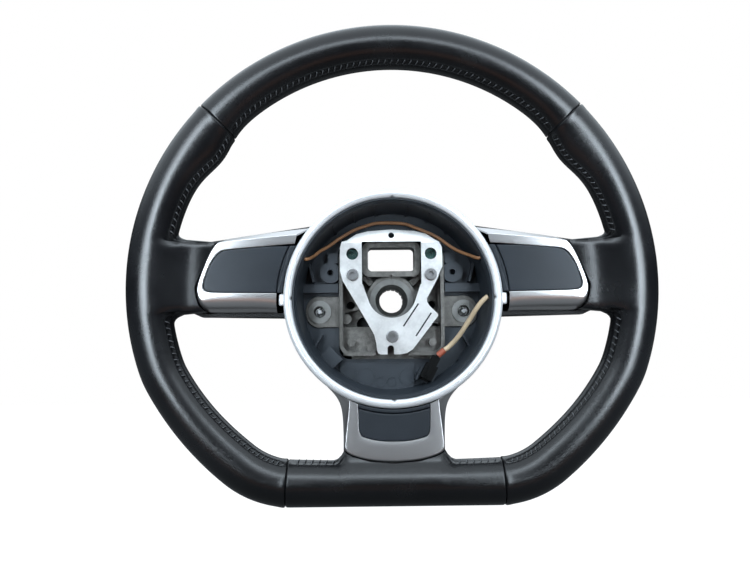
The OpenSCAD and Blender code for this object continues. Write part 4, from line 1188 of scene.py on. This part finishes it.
FLOOR_Z, CARD_Z = -0.235, -0.45
LAMP_COLOUR, SKY_COLOUR, WHITE = (0.80, 0.91, 1.0), (0.82, 0.92, 1.0), (1.0, 1.0, 1.0)


class WHEEL_OT_stage(bpy.types.Operator):
    """Sets up the floor, the backdrop, the lamps and the surroundings"""

    bl_idname = "wheel.stage"
    bl_label = "Stage"

    def execute(self, context):
        scene = context.scene
        scene.view_settings.view_transform = "Standard"
        floor = stage_sheet("floor", 3, -0.35, 3, FLOOR_Z)
        floor.data.materials.append(white_finish("white_floor", 0.10, 0.97))
        card = stage_sheet("warm_card", 0.9, -1.3, -0.72, CARD_Z)
        card.data.materials.append(glow_finish("warm_glow", (0.40, 0.20, 0.12)))
        card.visible_camera = False
        scene.world = studio_world()
        for side in (-1, 1):
            lamp("side_box", (side * 0.36, -0.55, 0.14), (side * 0.36, 0, 0.10), 0.28, 0.50, 2.3, 80)
        lamp("front_box", (0, -1.00, 0.74), (0, -0.06, 0), 1.7, 0.20, 8.6, 180)
        return {"FINISHED"}


def plainly_seen(maker):
    """1 where the camera looks straight or through an opening, otherwise 0."""
    rays = maker.add("ShaderNodeLightPath").socket.node.outputs
    straight, through = (Value(maker, rays[name]) for name in ("Is Camera Ray", "Is Transmission Ray"))
    return straight.calc("MAXIMUM", straight, through)


def studio_world():
    """Surroundings that are white to the camera, bright above the wheel and dark below it."""
    world = bpy.data.worlds.new("studio")
    world.use_nodes = True
    tree = world.node_tree
    tree.nodes.clear()
    maker = NodeMaker(tree)
    split = maker.add("ShaderNodeSeparateXYZ", inputs={
        "Vector": maker.add("ShaderNodeTexCoord", output="Generated")}).socket.node.outputs
    light = Value(maker, split["Z"]).ramp(0.22, 0.60) * 1.5 + 0.03
    seen = plainly_seen(maker)
    strength = light * (1 - seen) + seen
    colour = maker.add("ShaderNodeMix", {"data_type": "RGBA"},
                       {0: seen, 6: SKY_COLOUR, 7: WHITE}, 2)
    surface = maker.add("ShaderNodeBackground", inputs={"Color": colour, "Strength": strength})
    maker.add("ShaderNodeOutputWorld", inputs={"Surface": surface}, output=None)
    return world


def stage_sheet(name, half, near, far, height):
    """A level sheet that is not part of the wheel."""
    mesh = bpy.data.meshes.new(name)
    corners = [(-half, near, height), (half, near, height), (half, far, height), (-half, far, height)]
    mesh.from_pydata(corners, [], [(0, 1, 2, 3)])
    sheet = added(name, mesh)
    return sheet


def white_finish(name, shade, glow):
    """Stage material that looks white to the camera and dull in reflections."""
    finish = Finish(name, Base_Color=(shade, shade, shade), Roughness=0.9, Specular_IOR_Level=0.0)
    light = finish.add("ShaderNodeEmission", inputs={"Strength": plainly_seen(finish) * glow})
    both = finish.add("ShaderNodeAddShader", inputs={0: Value(finish, finish.shader.outputs[0]), 1: light})
    finish.feed(finish.tree.nodes["Material Output"].inputs[0], both)
    return finish.material


def glow_finish(name, colour):
    """Stage material that gives off an even, soft light."""
    return Finish(name, Base_Color=(0, 0, 0), Emission_Color=colour, Emission_Strength=1.0).material


def lamp(name, where, to, width, height, power, spread):
    """A cool area lamp that faces a point."""
    light = bpy.data.lights.new(name, "AREA")
    light.shape = "RECTANGLE"
    light.size, light.size_y = width, height
    light.energy = power
    light.color = LAMP_COLOUR
    light.spread = radians(spread)
    holder = added(name, light)
    holder.location = where
    holder.rotation_euler = (Vector(to) - Vector(where)).to_track_quat("-Z", "Y").to_euler()
    return holder


class WHEEL_PT_panel(bpy.types.Panel):
    """Sizes, colours and steps of the steering wheel"""

    bl_idname = "WHEEL_PT_panel"
    bl_label = "Steering wheel"
    bl_space_type = "VIEW_3D"
    bl_region_type = "UI"
    bl_category = "Wheel"

    def draw(self, context):
        for group in (context.scene.wheel_sizes, context.scene.wheel_colours):
            for name in group.bl_rna.properties.keys():
                if name not in ("rna_type", "name"):
                    self.layout.prop(group, name)
        for step in STEPS:
            self.layout.operator(step.bl_idname)


STEPS = (WHEEL_OT_camera, WHEEL_OT_cords, WHEEL_OT_leather, WHEEL_OT_stitches, WHEEL_OT_trims,
         WHEEL_OT_inserts, WHEEL_OT_ring, WHEEL_OT_finishes, WHEEL_OT_stage)
CLASSES = (WheelSizes, WheelColours) + STEPS + (WHEEL_PT_panel,)


def register():
    for cls in CLASSES:
        bpy.utils.register_class(cls)
    bpy.types.Scene.wheel_sizes = bpy.props.PointerProperty(type=WheelSizes)
    bpy.types.Scene.wheel_colours = bpy.props.PointerProperty(type=WheelColours)


def unregister():
    del bpy.types.Scene.wheel_colours
    del bpy.types.Scene.wheel_sizes
    for cls in reversed(CLASSES):
        bpy.utils.unregister_class(cls)


def main():
    register()
    for step in STEPS:
        getattr(bpy.ops.wheel, step.bl_idname.split(".")[1])()
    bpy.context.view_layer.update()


if __name__ == "__main__":
    main()
